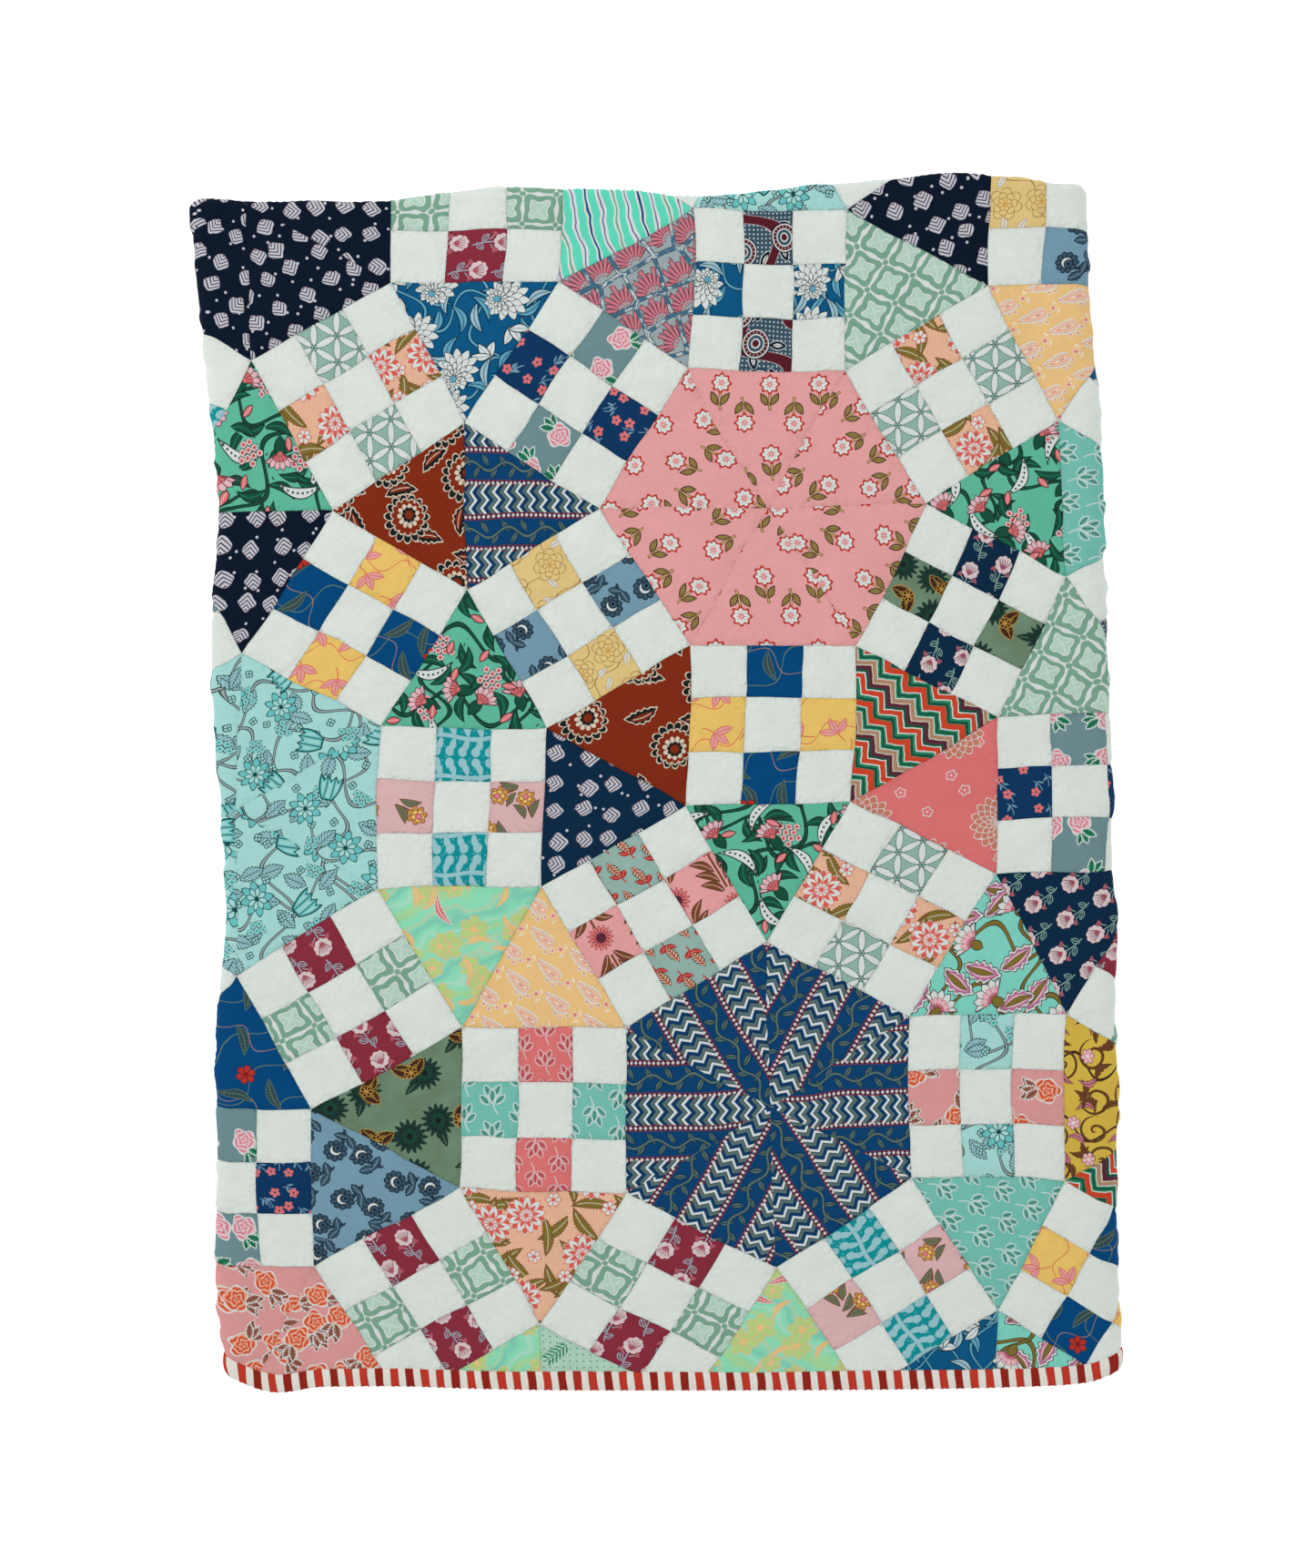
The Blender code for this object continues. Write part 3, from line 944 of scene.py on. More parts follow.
class Paint:
    """The shader of one cotton: where each point lies on the cloth, its inks, and its finish with painted
    shade.
    """

    def __init__(self, name, ground):
        self.material = bpy.data.materials.new("cotton_" + name)
        self.material.use_nodes = True
        self.tree = self.material.node_tree
        cloth = self.value("ShaderNodeAttribute", {"attribute_name": "cloth"}, {}, "Vector")
        split = self.node("ShaderNodeSeparateXYZ", {}, {"Vector": cloth})
        self.x, self.y, self.depth = (Value(self, socket) for socket in split.outputs)
        self.colour = linear(INKS[ground])

    def node(self, kind, settings, inputs):
        """Any shader node, with its settings made before its sockets are filled."""
        node = self.tree.nodes.new(kind)
        for name, value in settings.items():
            setattr(node, name, value)
        fill(self.tree, node, inputs)
        return node

    def value(self, kind, settings, inputs, output=0):
        """What a new node gives."""
        return Value(self, self.node(kind, settings, inputs).outputs[output])

    def maths(self, operation, *values, clamp=False):
        settings = {"operation": operation, "use_clamp": clamp}
        return self.value("ShaderNodeMath", settings, dict(enumerate(values)))

    def mix(self, share, below, above):
        settings = {"data_type": "RGBA", "clamp_factor": True}
        return self.value("ShaderNodeMix", settings, {0: share, 6: below, 7: above}, 2)

    def place(self, x, y):
        """A vector from two places on the cloth."""
        return self.value("ShaderNodeCombineXYZ", {}, {"X": x, "Y": y})

    def inside(self, gap, soft=0.3):
        """1 where a distance is below nothing, with a soft edge this wide in mm."""
        return self.maths("MULTIPLY_ADD", gap, -0.5 / soft, 0.5, clamp=True)

    def lay(self, mask, ink):
        """Print one ink where its mask is 1."""
        self.colour = self.mix(mask, self.colour, linear(INKS[ink]))

    def noise(self, size, x=None, y=None, detail=1.0):
        """Smooth noise between 0 and 1 with lumps of this size."""
        vector = self.place(self.x if x is None else x, self.y if y is None else y)
        inputs = {"Vector": vector, "Scale": 1.0 / size, "Detail": detail}
        return self.value("ShaderNodeTexNoise", {"noise_dimensions": "2D"}, inputs)

    def far(self, x, y):
        return (x * x + y * y).root()

    def way(self, x, y):
        return self.maths("ARCTAN2", y, x)

    def turned(self, x, y, degrees):
        """Places as seen from axes turned by a fixed angle."""
        c = math.cos(math.radians(degrees))
        s = math.sin(math.radians(degrees))
        return x * c + y * s, y * c - x * s

    def spun(self, x, y, angle):
        """Places as seen from axes turned by an angle that varies."""
        c = angle.cos()
        s = angle.sin()
        return x * c + y * s, y * c - x * s

    def repeat(self, value, every):
        """Distance from the middle of each repeat along one direction."""
        return ((value / every).share() - 0.5) * every

    def half_drop(self, wide, tall, drop=0.5, x=None, y=None):
        """Places from the middle of each repeat, with every second column moved up by a share."""
        x = self.x if x is None else x
        y = self.y if y is None else y
        column = (x / wide).floor()
        odd = (column * 0.5).share() * 2.0
        high = y / tall + odd * drop
        across = x - (column + 0.5) * wide
        return across, (high.share() - 0.5) * tall, odd

    def chanced(self, every, loose=0.6, shift=0.0, spin=1.0):
        """Places from the nearest of many scattered points, each with a random turn and chance."""
        spot = self.place(self.x + shift, self.y + shift * 1.7)
        inputs = {"Vector": spot, "Scale": 1.0 / every, "Randomness": loose}
        cell = self.node("ShaderNodeTexVoronoi", {"voronoi_dimensions": "2D"}, inputs)
        near = Value(self, cell.outputs["Position"])
        away = self.value("ShaderNodeVectorMath", {"operation": "SUBTRACT"}, {0: spot, 1: near})
        split = self.node("ShaderNodeSeparateXYZ", {}, {0: away})
        luck = self.node("ShaderNodeSeparateColor", {}, {0: Value(self, cell.outputs["Color"])})
        x, y = Value(self, split.outputs[0]), Value(self, split.outputs[1])
        angle = Value(self, luck.outputs[0]) * (2.0 * math.pi * spin)
        return (*self.spun(x, y, angle), Value(self, luck.outputs[1]))

    def scattered(self, *numbers, **settings):
        """Places from the nearest of many scattered points, each with a random turn."""
        return self.chanced(*numbers, **settings)[:2]

    def edges(self, every, loose):
        """Distance from the lines between scattered points."""
        settings = {"voronoi_dimensions": "2D", "feature": "DISTANCE_TO_EDGE"}
        inputs = {"Vector": self.place(self.x, self.y), "Scale": 1.0 / every, "Randomness": loose}
        return self.value("ShaderNodeTexVoronoi", settings, inputs, "Distance") * every

    def dot(self, x, y, size, ink):
        self.lay(self.inside(self.far(x, y) - size), ink)

    def shape(self, gap, ink, rim=None):
        """A shape that ends where its gap is nothing, with a rim of its own ink and width round it."""
        if rim:
            line, wide = rim
            self.lay(self.inside(gap - wide), line)
        self.lay(self.inside(gap), ink)

    def leaf(self, x, y, long, wide, ink, rim=None, saw=0.0, vein=None, bend=0.0, ribs=0.0):
        """A pointed leaf along x, with a rim, saw teeth, a bend, a middle vein and ribs."""
        if bend:
            y = y + (x * x) * bend
        half = (1.0 - (x / long).power(2.0)) * wide
        if saw:
            half = half * ((x * (TURN / saw)).sin() * 0.16 + 1.0)
        gap = abs(y) - half
        self.shape(gap, ink, rim)
        if vein:
            self.lay(self.inside(abs(y) - 0.35) * self.inside(abs(x) - long * 0.8), vein)
        if ribs:
            rib = self.repeat(x - abs(y) * 0.9, ribs)
            self.lay(self.inside(abs(rib) - 0.25) * self.inside(gap + 0.5), vein)

    def spray(self, x, y, turns, out, *leaf, **dress):
        """Leaves that spread from one point, with their middles this far out."""
        for turn in turns:
            lx, ly = self.turned(x, y, turn)
            self.leaf(lx - out, ly, *leaf, **dress)

    def flower(
        self, x, y, size, petals, ink, rim=None, line=None, eye=None, eye_size=0.26, lobe=0.3, point=2.2,
    ):
        """A flower face on, with a rim, lines between its petals and an eye."""
        r = self.far(x, y)
        share = math.pi / petals
        off = abs(self.repeat(self.way(x, y), 2.0 * share)) / share
        gap = r - (1.0 - off.power(point) * lobe) * size
        self.shape(gap, ink, rim)
        if line:
            self.lay(self.inside(gap) * self.inside((1.0 - off) * r * share - 0.45), line)
        if eye:
            self.lay(self.inside(r - size * eye_size), eye)

    def twig(self, x, y, low, high, ink, wide, bend=0.0):
        """A curved stem up y between two heights."""
        gap = abs(x - (y * y) * bend) - wide / 2
        ends = abs(y - (low + high) / 2) - (high - low) / 2
        self.lay(self.inside(gap) * self.inside(ends), ink)

    def vine(self, every, sway, wave, wide, ink, tilt=0.0, shift=0.0):
        """Long waving stems side by side."""
        x, y = self.turned(self.x, self.y, tilt)
        path = y + (x * (TURN / wave) + shift).sin() * sway + shift * 7.0
        self.lay(self.inside(abs(self.repeat(path, every)) - wide / 2), ink)

    def corded_vine(self, every, sway, wave, rim, stem, tilt=0.0, shift=0.0):
        """Long waving stems with a rim: each has its ink and its width."""
        for ink, wide in (rim, stem):
            self.vine(every, sway, wave, wide, ink, tilt=tilt, shift=shift)

    def sector(self, x, y, size, spread, frill, ink, rim):
        """A frilled fan that opens up y from a point, with rays in its rim's ink."""
        r = self.far(x, y)
        angle = self.way(y, x)
        fold = abs(self.repeat(angle, frill))
        gap = (r - (1.0 - fold * 0.9) * size).most((abs(angle) - spread) * size * 0.7)
        self.shape(gap, ink, rim)
        ray = (frill / 2 - fold) * r - 0.35
        self.lay(self.inside(ray) * self.inside(gap) * self.inside(size * 0.35 - r), rim[0])

    def carnation(self, x, y, size, petal, line, stem, ground):
        """A sprig: a frilled flower and two buds over a thin stem with two hollow leaves."""
        self.twig(x, y, -size, size * 0.3, stem, 0.9, bend=0.010)
        for height, side in ((-0.62, 1.0), (-0.36, -1.0)):
            place = self.turned(x * side - size * 0.24, y - size * height, 40)
            self.leaf(*place, size * 0.24, size * 0.12, ground, (stem, 0.7), vein=stem)
        bud_x, bud_y = self.turned(abs(x) - size * 0.14, y + size * 0.12, -52)
        self.twig(bud_x, bud_y, 0.0, size * 0.26, stem, 0.7)
        self.sector(bud_x, bud_y - size * 0.22, size * 0.30, 0.62, 0.42, "dusty_rose", (line, 0.4))
        self.flower(x, y - size * 0.55, size * 0.50, 9, petal, (line, 0.4), lobe=0.14)
        self.sector(x, y - size * 0.16, size * 0.72, 0.55, 0.24, petal, (line, 0.2))
        self.sector(x, y - size * 0.20, size * 0.36, 0.62, 0.30, "dusty_rose", (line, 0.3))

    def rose(self, x, y, size, ink, deep, rim, leaf, leaf_dark):
        """A blowsy rose of curled petals in a pale outline, with leaves below it."""
        self.spray(
            x, y + size * 0.75, (-128, -90, -52), size * 0.55, size * 0.62, size * 0.24, leaf, (rim, 1.1),
            saw=size * 0.25, vein=leaf_dark,
        )
        r = self.far(x, y)
        angle = self.way(x, y)
        wave = (angle * 5.0).sin() * 0.10 + (angle * 3.0 + 1.0).cos() * 0.09
        edge = (wave + 0.84) * size
        face = self.inside(r - edge)
        self.lay(self.inside(r - edge - 1.3), rim)
        self.lay(face, ink)
        curl = (r * (TURN / (size * 0.36)) + angle * 3.0 + (angle * 5.0 + 1.5).sin() * 1.6).sin()
        self.lay(self.inside(0.45 - curl, 0.3) * face, deep)
        self.lay(self.inside(curl + 0.93, 0.2) * face, rim)

    def finish_and_shade(self, crinkle=1.0, seams=True):
        """Lay inks on matt cotton with slubs and soft creases; paint shade on creases, gathers and seam
        ditches.
        """
        slub = self.noise(SLUB, self.x * 0.22, self.y) + self.noise(SLUB, self.x, self.y * 0.22)
        cloud = self.noise(CLOUD, detail=2.0)
        crease_and_shade = abs(self.noise(CREASE, self.x + self.y * 0.4, self.y, 2.0) - 0.5)
        weave = (self.x * THREADS).sin() * (self.y * THREADS).sin()
        # Painted shade: the colour is darker along the crease lines that the bump draws; slubs and clouds
        # only vary the tone
        shade = (slub - 1.0) * 0.06 + (cloud - 0.5) * 0.10 + crease_and_shade * 0.08 + 0.99
        height = slub * 0.06 + weave * 0.02 - crease_and_shade * (2.4 * crinkle)
        if seams:
            ditch_and_shade = self.maths("EXPONENT", self.depth / -DITCH)
            gathers = (self.noise(GATHER) - 0.5) * self.maths("EXPONENT", self.depth / -GATHER_REACH)
            # Painted shade and light: the colour darkens in the ditch at each seam and where the gathers
            # sink, and lightens where they rise
            shade = shade - ditch_and_shade * 0.20 + gathers * 0.14
            height = height - ditch_and_shade * 0.5 + gathers * 3.6
        inks = self.colour if isinstance(self.colour, Value) else self.colour[:3]
        scaling = {0: inks, "Scale": shade * CLOTH_TONE}
        bump = {"Strength": 0.8, "Distance": 0.001, "Height": height}
        fill(self.tree, self.tree.nodes["Principled BSDF"], {
            "Base Color": self.value("ShaderNodeVectorMath", {"operation": "SCALE"}, scaling),
            "Normal": self.value("ShaderNodeBump", {}, bump),
            "Roughness": 0.95,
            "Specular IOR Level": 0.06,
        })
        return self.material


def lotus(p, x, y, size, petal, line, heart):
    """A many-petalled flower from the side: rings of pointed petals that close in on its stem."""
    for share, drop in ((1.0, 0.0), (0.79, 0.13), (0.58, 0.26), (0.38, 0.38)):
        place = p.turned(x, y + size * drop, share * 70.0)
        p.flower(*place, size * share, 11, petal, (line, 0.8), line=line, lobe=0.34, point=1.25)
    p.flower(x, y + size * 0.46, size * 0.15, 5, heart, (line, 0.5))


def boteh(p, x, y, tall, ink, rim, line):
    """A curled drop with a flaming rim, a line inside it and a small leaf at its heart."""
    t = (y + tall / 2) / tall
    body = (t * (1.0 - t)).most(0.0).root() * (1.3 - t) * (tall * 0.42)
    side = x - t * t * (tall * 0.17)
    gap = abs(side) - body
    flame = (y * (50.0 / tall) + abs(side) * (29.0 / tall)).sin() * (tall * 0.033)
    within = p.inside(abs(y) - tall / 2)
    p.lay(p.inside(gap - tall * 0.066 + flame) * within, rim)
    p.lay(p.inside(gap - tall * 0.004), line)
    p.lay(p.inside(gap + tall * 0.033), ink)
    p.lay(p.inside(abs(gap + tall * 0.096) - tall * 0.023) * within, line)
    p.leaf(*p.turned(side, y + tall * 0.19, 90), tall * 0.125, tall * 0.054, line, (rim, tall * 0.025))


def print_plain(p):
    """Undyed cotton."""


def print_navy_shell(p):
    p.dot(*p.scattered(18, 0.9, shift=55), 1.3, "shell_white")
    x, y, luck = p.chanced(26.5, 0.36, spin=0.08)
    rough = (p.noise(8.0) - 0.5) * 2.6 - luck
    lx, ly = p.turned(x, y, 28)
    square = (lx.power(4.0) + ly.power(4.0)).power(0.25) - 6.3 + rough
    step = lx.most(ly)
    p.lay(p.inside(square - 0.5) * p.inside(step - 3.0), "wine")
    p.lay(p.inside(square), "shell_white")
    p.lay(p.inside(square + 0.2) * p.inside(abs(p.repeat(step, 2.9)) - 0.5), "navy")


def print_trellis(p):
    wide = 30.5
    sway = (p.noise(26.0) - 0.5) * 6.0
    lx = abs(p.repeat(p.x + sway, wide))
    ly = abs(p.repeat(p.y - sway, wide))
    pinch = (p.way(lx, ly) * 4.0).cos() * 1.0
    q = (lx.power(5.0) + ly.power(5.0)).power(0.2) + (p.noise(6.0) - 0.5) * 1.8 + pinch
    p.lay(p.inside(q - 14.0), "leaf")
    p.lay(p.inside(q - 8.9), "white")
    p.lay(p.inside(q - 7.7), "pale_mint")
    p.lay(p.inside(abs(lx - ly) - 1.2, 1.2) * p.inside(q - 6.6) * 0.6, "white")
    p.dot(lx - wide / 2, ly - wide / 2, 2.6, "leaf")


def print_maroon_carnation(p):
    x, y, _ = p.half_drop(27, 38)
    p.carnation(x, y, 17, "blush", "maroon", "pale_sky", "maroon")


def print_navy_carnation(p):
    x, y, _ = p.half_drop(27, 39)
    p.carnation(x, y, 17, "blush", "wine", "sage", "midnight")


def print_wave_stripe(p):
    s = p.turned(p.x, p.y, 14)[1] + (p.x / 9.0).sin() * 1.3 + (p.noise(22.0) - 0.5) * 7.0
    p.lay(p.inside(abs(p.repeat(s + 6.5, 13.0)) - 3.0), "white")
    lines = ((0, 1.5, "purple"), (13, 2.2, "royal"), (26, 1.4, "purple"), (39, 2.0, "leaf"))
    for shift, wide, ink in lines:
        p.lay(p.inside(abs(p.repeat(s + shift, 52.0)) - wide / 2), ink)


def print_ginkgo_fan(p):
    gap = p.edges(31, 0.4) + (p.noise(5.0) - 0.5) * 1.6
    x, y = p.scattered(31, 0.4, spin=0.07)
    y = y + 15.5
    r = p.far(x, y)
    angle = p.way(y, x)
    spread = 0.24
    odd = ((angle / spread).floor() * 0.5).share() * 2.0
    reach = 28.0 - abs(angle) * 6.0 - odd * 4.5 + (p.noise(5.0) - 0.5) * 7.0
    finger = abs(p.repeat(angle, spread)) * r - (r * 0.046) - 0.55
    body = finger.most(r - reach).most((abs(angle) - 1.1) * 9.0).most((odd * 4.0 + 6.0) - r)
    within = p.inside(2.2 - gap)
    p.lay(p.inside(body - 0.8) * within, "grape")
    p.lay(p.inside(body) * within, "dusty_rose")
    p.lay(p.inside(gap - 1.7), "bright_dusk")
    p.lay(p.inside(abs(gap - 0.8) - 0.5) * p.inside(0.53 - p.noise(9.0), 0.05), "white")
    p.lay(p.inside(abs(gap - 1.9) - 0.35), "slate_dark")


def print_blue_chintz(p):
    p.corded_vine(58, 14, 80, ("navy", 4.0), ("sky", 2.2), tilt=50)
    p.corded_vine(70, 13, 64, ("navy", 4.0), ("sky", 2.2), tilt=-35, shift=2.0)
    for shift, ink in ((3, "sky"), (61, "sky"), (122, "pale_sky")):
        p.leaf(*p.scattered(40, 0.85, shift=shift), 13, 3.4, ink, ("navy", 1.0), vein="navy", bend=0.03)
    x, y = p.scattered(56, 0.8, shift=81)
    p.spray(x, y, (40, 90, 140), 7.5, 8.5, 3.4, "white", ("navy", 1.0), vein="slate", bend=0.02)
    x, y = p.scattered(60, 0.6, shift=20, spin=0.35)
    lotus(p, x, y, 20.0, "white", "navy", "sky")


def print_medallion(p):
    x, y = p.scattered(46, 0.7, shift=11)
    r = p.far(x, y)
    dotted = p.inside(p.far(p.repeat(p.x, 4.2), p.repeat(p.y, 4.2)) - 0.75)
    p.lay(dotted, "white")
    ex, ey = p.scattered(26, 0.8, shift=44)
    p.leaf(ex, ey, 9, 4.4, "navy", ("white", 0.7))
    p.leaf(ex, ey, 5, 2.0, "white", vein="wine")
    p.vine(56, 17, 80, 15.0, "blush", tilt=30)
    p.vine(56, 17, 80, 13.8, "wine", tilt=30)
    rings = (
        (14.6, "navy"), (13.4, "white"), (12.2, "wine"), (8.8, "white"), (7.6, "steel"), (4.6, "white"),
        (3.4, "wine"),
    )
    for size, ink in rings:
        p.lay(p.inside(r - size), ink)
    p.lay(p.inside(abs((p.way(x, y) * 9.0).sin()) * r - 2.4) * p.inside(abs(r - 10.6) - 1.0), "blush")


def print_pink_sprig(p):
    x, y, odd = p.half_drop(23.5, 68.8, 0.33)
    side = 1.0 - odd * 2.0
    lean = (p.noise(60.0) - 0.5) * 0.5
    x = x * side + y * lean
    y = y * side - 2.0
    p.twig(x, y, -20.0, -2, "brown", 2.6, bend=0.004)
    p.twig(x, y, -19.3, -2, "gold", 0.9, bend=0.004)
    leaf = p.turned(abs(x) - 4.9, y + 9.4, 58)
    p.leaf(*leaf, 6.0, 2.0, "pale_olive", ("dark_brown", 1.2), saw=2.6, vein="brown")
    flower = p.turned(x, y - 5.5, 22.5)
    rings = ((10.4, "red", 0.28, 1.1), (7.9, "white", 0.27, 1.2), (5.0, "coral_red", 0.75, 0.7))
    for size, ink, lobe, point in rings:
        p.flower(*flower, size, 8, ink, lobe=lobe, point=point)
    p.dot(*flower, 0.8, "white")


def print_star_petal(p):
    wide = 24.5
    x, y, _ = p.half_drop(wide * 0.866, wide)
    r = p.far(x, y)
    angle = p.repeat(p.way(x, y), math.pi / 3)
    along_petal = r * angle.cos() - wide / 2
    half = (wide * wide - along_petal * along_petal).root() - wide * 0.866
    gap = abs(r * angle.sin()) - half
    p.lay(p.inside(gap - 0.2), "forest")
    p.lay(p.inside(gap + 0.45), "white")
    p.lay(p.inside(abs(gap - 0.1) - 0.5) * p.inside((r * 2.2).sin() + 0.1, 0.3), "sage")
    for size, ink in ((2.8, "forest"), (2.2, "sage"), (0.9, "forest")):
        p.dot(x, y, size, ink)


def print_peach_blossom(p):
    for shift in (5, 77, 131):
        p.leaf(
            *p.scattered(47, 0.75, shift=shift), 18, 4.4, "olive", ("brown", 1.1), saw=2.9, vein="cream",
            bend=0.010,
        )
    p.flower(
        *p.scattered(38, 0.8, shift=140), 6.5, 6, "white", ("coral", 1.0), line="coral", eye="coral",
        lobe=0.45,
    )
    x, y = p.scattered(60, 0.5, shift=33, spin=0.4)
    p.flower(*p.turned(x, y, 20), 19, 9, "coral", ("white", 0.7), lobe=0.42, point=1.2)
    p.flower(x, y, 18, 9, "white", ("coral", 1.0), line="coral", lobe=0.42, point=1.2)
    p.flower(x, y, 13, 9, "coral", line="white", lobe=0.55, point=1.0)
    p.flower(
        x, y, 6.5, 9, "white", ("coral", 0.9), line="coral", eye="coral", eye_size=0.3, lobe=0.4, point=1.3,
    )


def print_blue_buds(p):
    for shift in (0, 31):
        x, y = p.scattered(30, 0.7, shift=shift, spin=0.2)
        p.twig(x, y, -9, 4, "slate", 0.8, bend=0.03)
        p.leaf(*p.turned(abs(x) - 2.6, y + 4.0, 50), 3.4, 0.9, "slate")
    p.flower(
        *p.scattered(22, 0.75, shift=9), 4.8, 5, "coral_red", line="dusty_rose", eye="wine", eye_size=0.2,
        lobe=0.45,
    )


def print_grey_rose(p):
    x, y = p.scattered(38, 0.45, shift=4, spin=0.6)
    p.rose(x, y - 2, 11.6, "light_pink", "rose", "white", "mid_green", "black")


def berries(p, x, y, size, ink, line, shine):
    """A round bunch of small ringed berries."""
    odd = ((x / 6.2).floor() * 0.5).share()
    bx = p.repeat(x, 6.2)
    by = p.repeat(y + odd * 6.2, 6.2)
    bunch = p.inside(p.far(x - bx, y - by) - size)
    r = p.far(bx, by)
    p.lay(bunch * p.inside(r - 3.7), line)
    p.lay(bunch * p.inside(r - 2.9 + (p.way(bx, by) * 6.0).sin() * 0.25), shine)
    p.lay(bunch * p.inside(r - 2.0), ink)
    p.lay(bunch * p.inside(r - 0.6), line)


def print_green_chintz(p):
    p.corded_vine(62, 15, 80, ("black", 5.0), ("dark_green", 2.8), tilt=55)
    p.corded_vine(76, 13, 62, ("black", 5.0), ("dark_green", 2.8), tilt=-25, shift=1.0)
    for shift in (0, 45, 91):
        p.leaf(
            *p.scattered(42, 0.85, shift=shift), 13, 3.8, "dark_green", ("black", 1.0), vein="mid_green",
            bend=0.03,
        )
    x, y = p.scattered(62, 0.85, shift=133)
    p.leaf(x, y, 19, 4.2, "white", ("black", 1.1), bend=-0.020)
    p.dot(p.repeat(x, 4.6), y - x * x * 0.020, 1.1, "forest")
    x, y = p.scattered(66, 0.7, shift=210)
    berries(p, x, y, 10.5, "coral_red", "wine", "white")
    x, y = p.scattered(54, 0.75, shift=27, spin=0.4)
    p.leaf(*p.turned(x, y + 3.0, 90), 9.5, 4.8, "dark_green", ("black", 1.0))
    p.sector(x, y - 1.0, 17, 0.95, 0.38, "light_pink", ("wine", 1.0))
    p.sector(x, y - 1.0, 10.0, 0.85, 0.38, "coral_red", ("wine", 0.7))
    p.leaf(*p.scattered(44, 0.9, shift=177), 6.5, 2.8, "coral_red", ("black", 1.0), vein="light_pink")


def print_rust_flower(p):
    x, y = p.scattered(44, 0.75, shift=60)
    p.leaf(x, y, 15, 5.6, "black", ("cream", 1.2), saw=6.0, bend=0.015)
    p.leaf(x, y - 0.8, 11, 3.0, "rust", vein="cream", bend=0.015)
    x, y = p.scattered(66, 0.5, shift=15, spin=0.5)
    p.flower(x, y, 22, 15, "black", ("cream", 1.3), line="cream", lobe=0.22)
    p.flower(x, y - 1.5, 16.5, 15, "rust", ("cream", 1.2), lobe=0.16)
    p.flower(x, y - 3.0, 11.5, 11, "cream", line="black")
    p.flower(x, y - 4.0, 7.5, 9, "black", ("cream", 0.8), eye="rust", eye_size=0.55, lobe=0.2)


def print_vine_stripe(p):
    pitch = 29.6
    rows = 2 * pitch
    for shift in (0.0, pitch):
        s = p.repeat(p.x + shift, rows)
        near = p.inside(abs(s) - pitch / 2 + 0.5, 0.2)
        if shift:
            chain = p.repeat(p.y + abs(p.repeat(s, 14.0)) * 0.85, 11.4)
            bands = ((0.0, 2.8, "white"), (4.2, 4.3, "fern"), (-4.2, 0.8, "black"), (1.9, 0.6, "black"))
            for low, wide, ink in bands:
                p.lay(p.inside(abs(chain - low) - wide / 2) * near, ink)
        else:
            path = s - (p.y * (TURN / 37.0)).sin() * 4.2
            for side, drop in ((1.0, 0.0), (-1.0, 9.2)):
                lx, ly = p.turned(s * side, p.repeat(p.y + drop, 18.5), 32)
                p.leaf(lx - 6.2, ly, 6.0, 2.1, "fern", ("navy", 0.6), vein="navy")
            p.lay(p.inside(abs(path) - 1.7), "navy")
            p.lay(p.inside(abs(path) - 1.1), "fern")
        edge = p.repeat(p.x + shift + pitch / 2, rows)
        p.lay(p.inside(abs(edge) - 2.6), "navy")
        p.lay(p.inside(abs(abs(edge) - 2.3) - 0.4), "maroon")
        p.dot(edge, p.repeat(p.y, 4.5), 1.5, "blush")


def print_paisley(p):
    x, y, _ = p.half_drop(24, 41)
    boteh(p, x, y, 26.0, "pale_apricot", "white", "light_coral")
    for across, up in ((-7.6, -3.2), (-9.4, -9.2), (-4.8, -14.6)):
        p.dot(x - across, y - up, 2.1, "white")
        p.dot(x - across, y - up, 1.3, "light_coral")
    x, y, _ = p.half_drop(24, 41, 0.5, None, p.y + 20.5)
    p.flower(x, y, 3.4, 6, "pale_apricot", line="coral_red", eye="coral_red", eye_size=0.3, lobe=0.35)
    p.leaf(*p.turned(abs(x) - 4.6, y + 3.4, 35), 3.2, 1.2, "pale_apricot")


def print_yellow_flower(p):
    p.vine(36, 7, 46, 0.9, "coral", tilt=20)
    x, y = p.scattered(38, 0.6, shift=8, spin=0.6)
    p.twig(x, y, -14, 2, "coral", 1.0, bend=0.02)
    p.spray(x, y + 2.0, (34, 90, 146), 8.0, 8.0, 3.0, "pink", ("coral", 0.8), vein="coral")


def print_gold_flower(p):
    p.vine(30, 8, 44, 0.8, "brown", tilt=40)
    p.leaf(*p.scattered(26, 0.8, shift=50), 7.5, 2.6, "white", ("ochre", 0.6), vein="ochre")
    x, y = p.scattered(44, 0.6, shift=3)
    for share, turn in ((1.0, 0.0), (0.72, 20.0), (0.42, 50.0)):
        p.flower(*p.turned(x, y, turn), 15 * share, 7, "gold", ("brown", 0.55), line="ochre", lobe=0.25)


def print_royal_branch(p):
    p.vine(40, 9, 62, 0.9, "moss", tilt=40)
    p.vine(57, 7, 45, 0.7, "tan", tilt=-30, shift=1.5)
    p.leaf(
        *p.scattered(42, 0.7, shift=18), 15, 4.0, "slate_dark", ("moss", 0.6), vein="moss", bend=0.015,
        ribs=3.0,
    )
    p.flower(
        *p.scattered(84, 0.6, shift=95), 9, 6, "red", ("wine", 0.8), line="wine", eye="oxblood", lobe=0.4,
    )


def print_slate_flower(p):
    x, y = p.scattered(34, 0.5, shift=6, spin=0.5)
    p.twig(x, y, -16, 2, "navy", 3.4, bend=0.03)
    p.twig(x, y, -15.2, 2, "steel", 1.6, bend=0.03)
    leaf = p.turned(abs(x) - 5.0, y + 9.5, 24)
    p.leaf(*leaf, 6.4, 3.0, "steel", ("navy", 1.0), saw=3.4, vein="slate")
    p.flower(x, y - 5.0, 9.6, 10, "steel", ("navy", 1.0), line="navy", lobe=0.18)
    rings = (
        (4.6, 5.4, "navy"), (4.6, 4.7, "white"), (2.6, 4.3, "navy"), (2.3, 3.4, "steel"),
        (2.2, 1.3, "navy"),
    )
    for up, size, ink in rings:
        p.dot(x, y - up, size, ink)


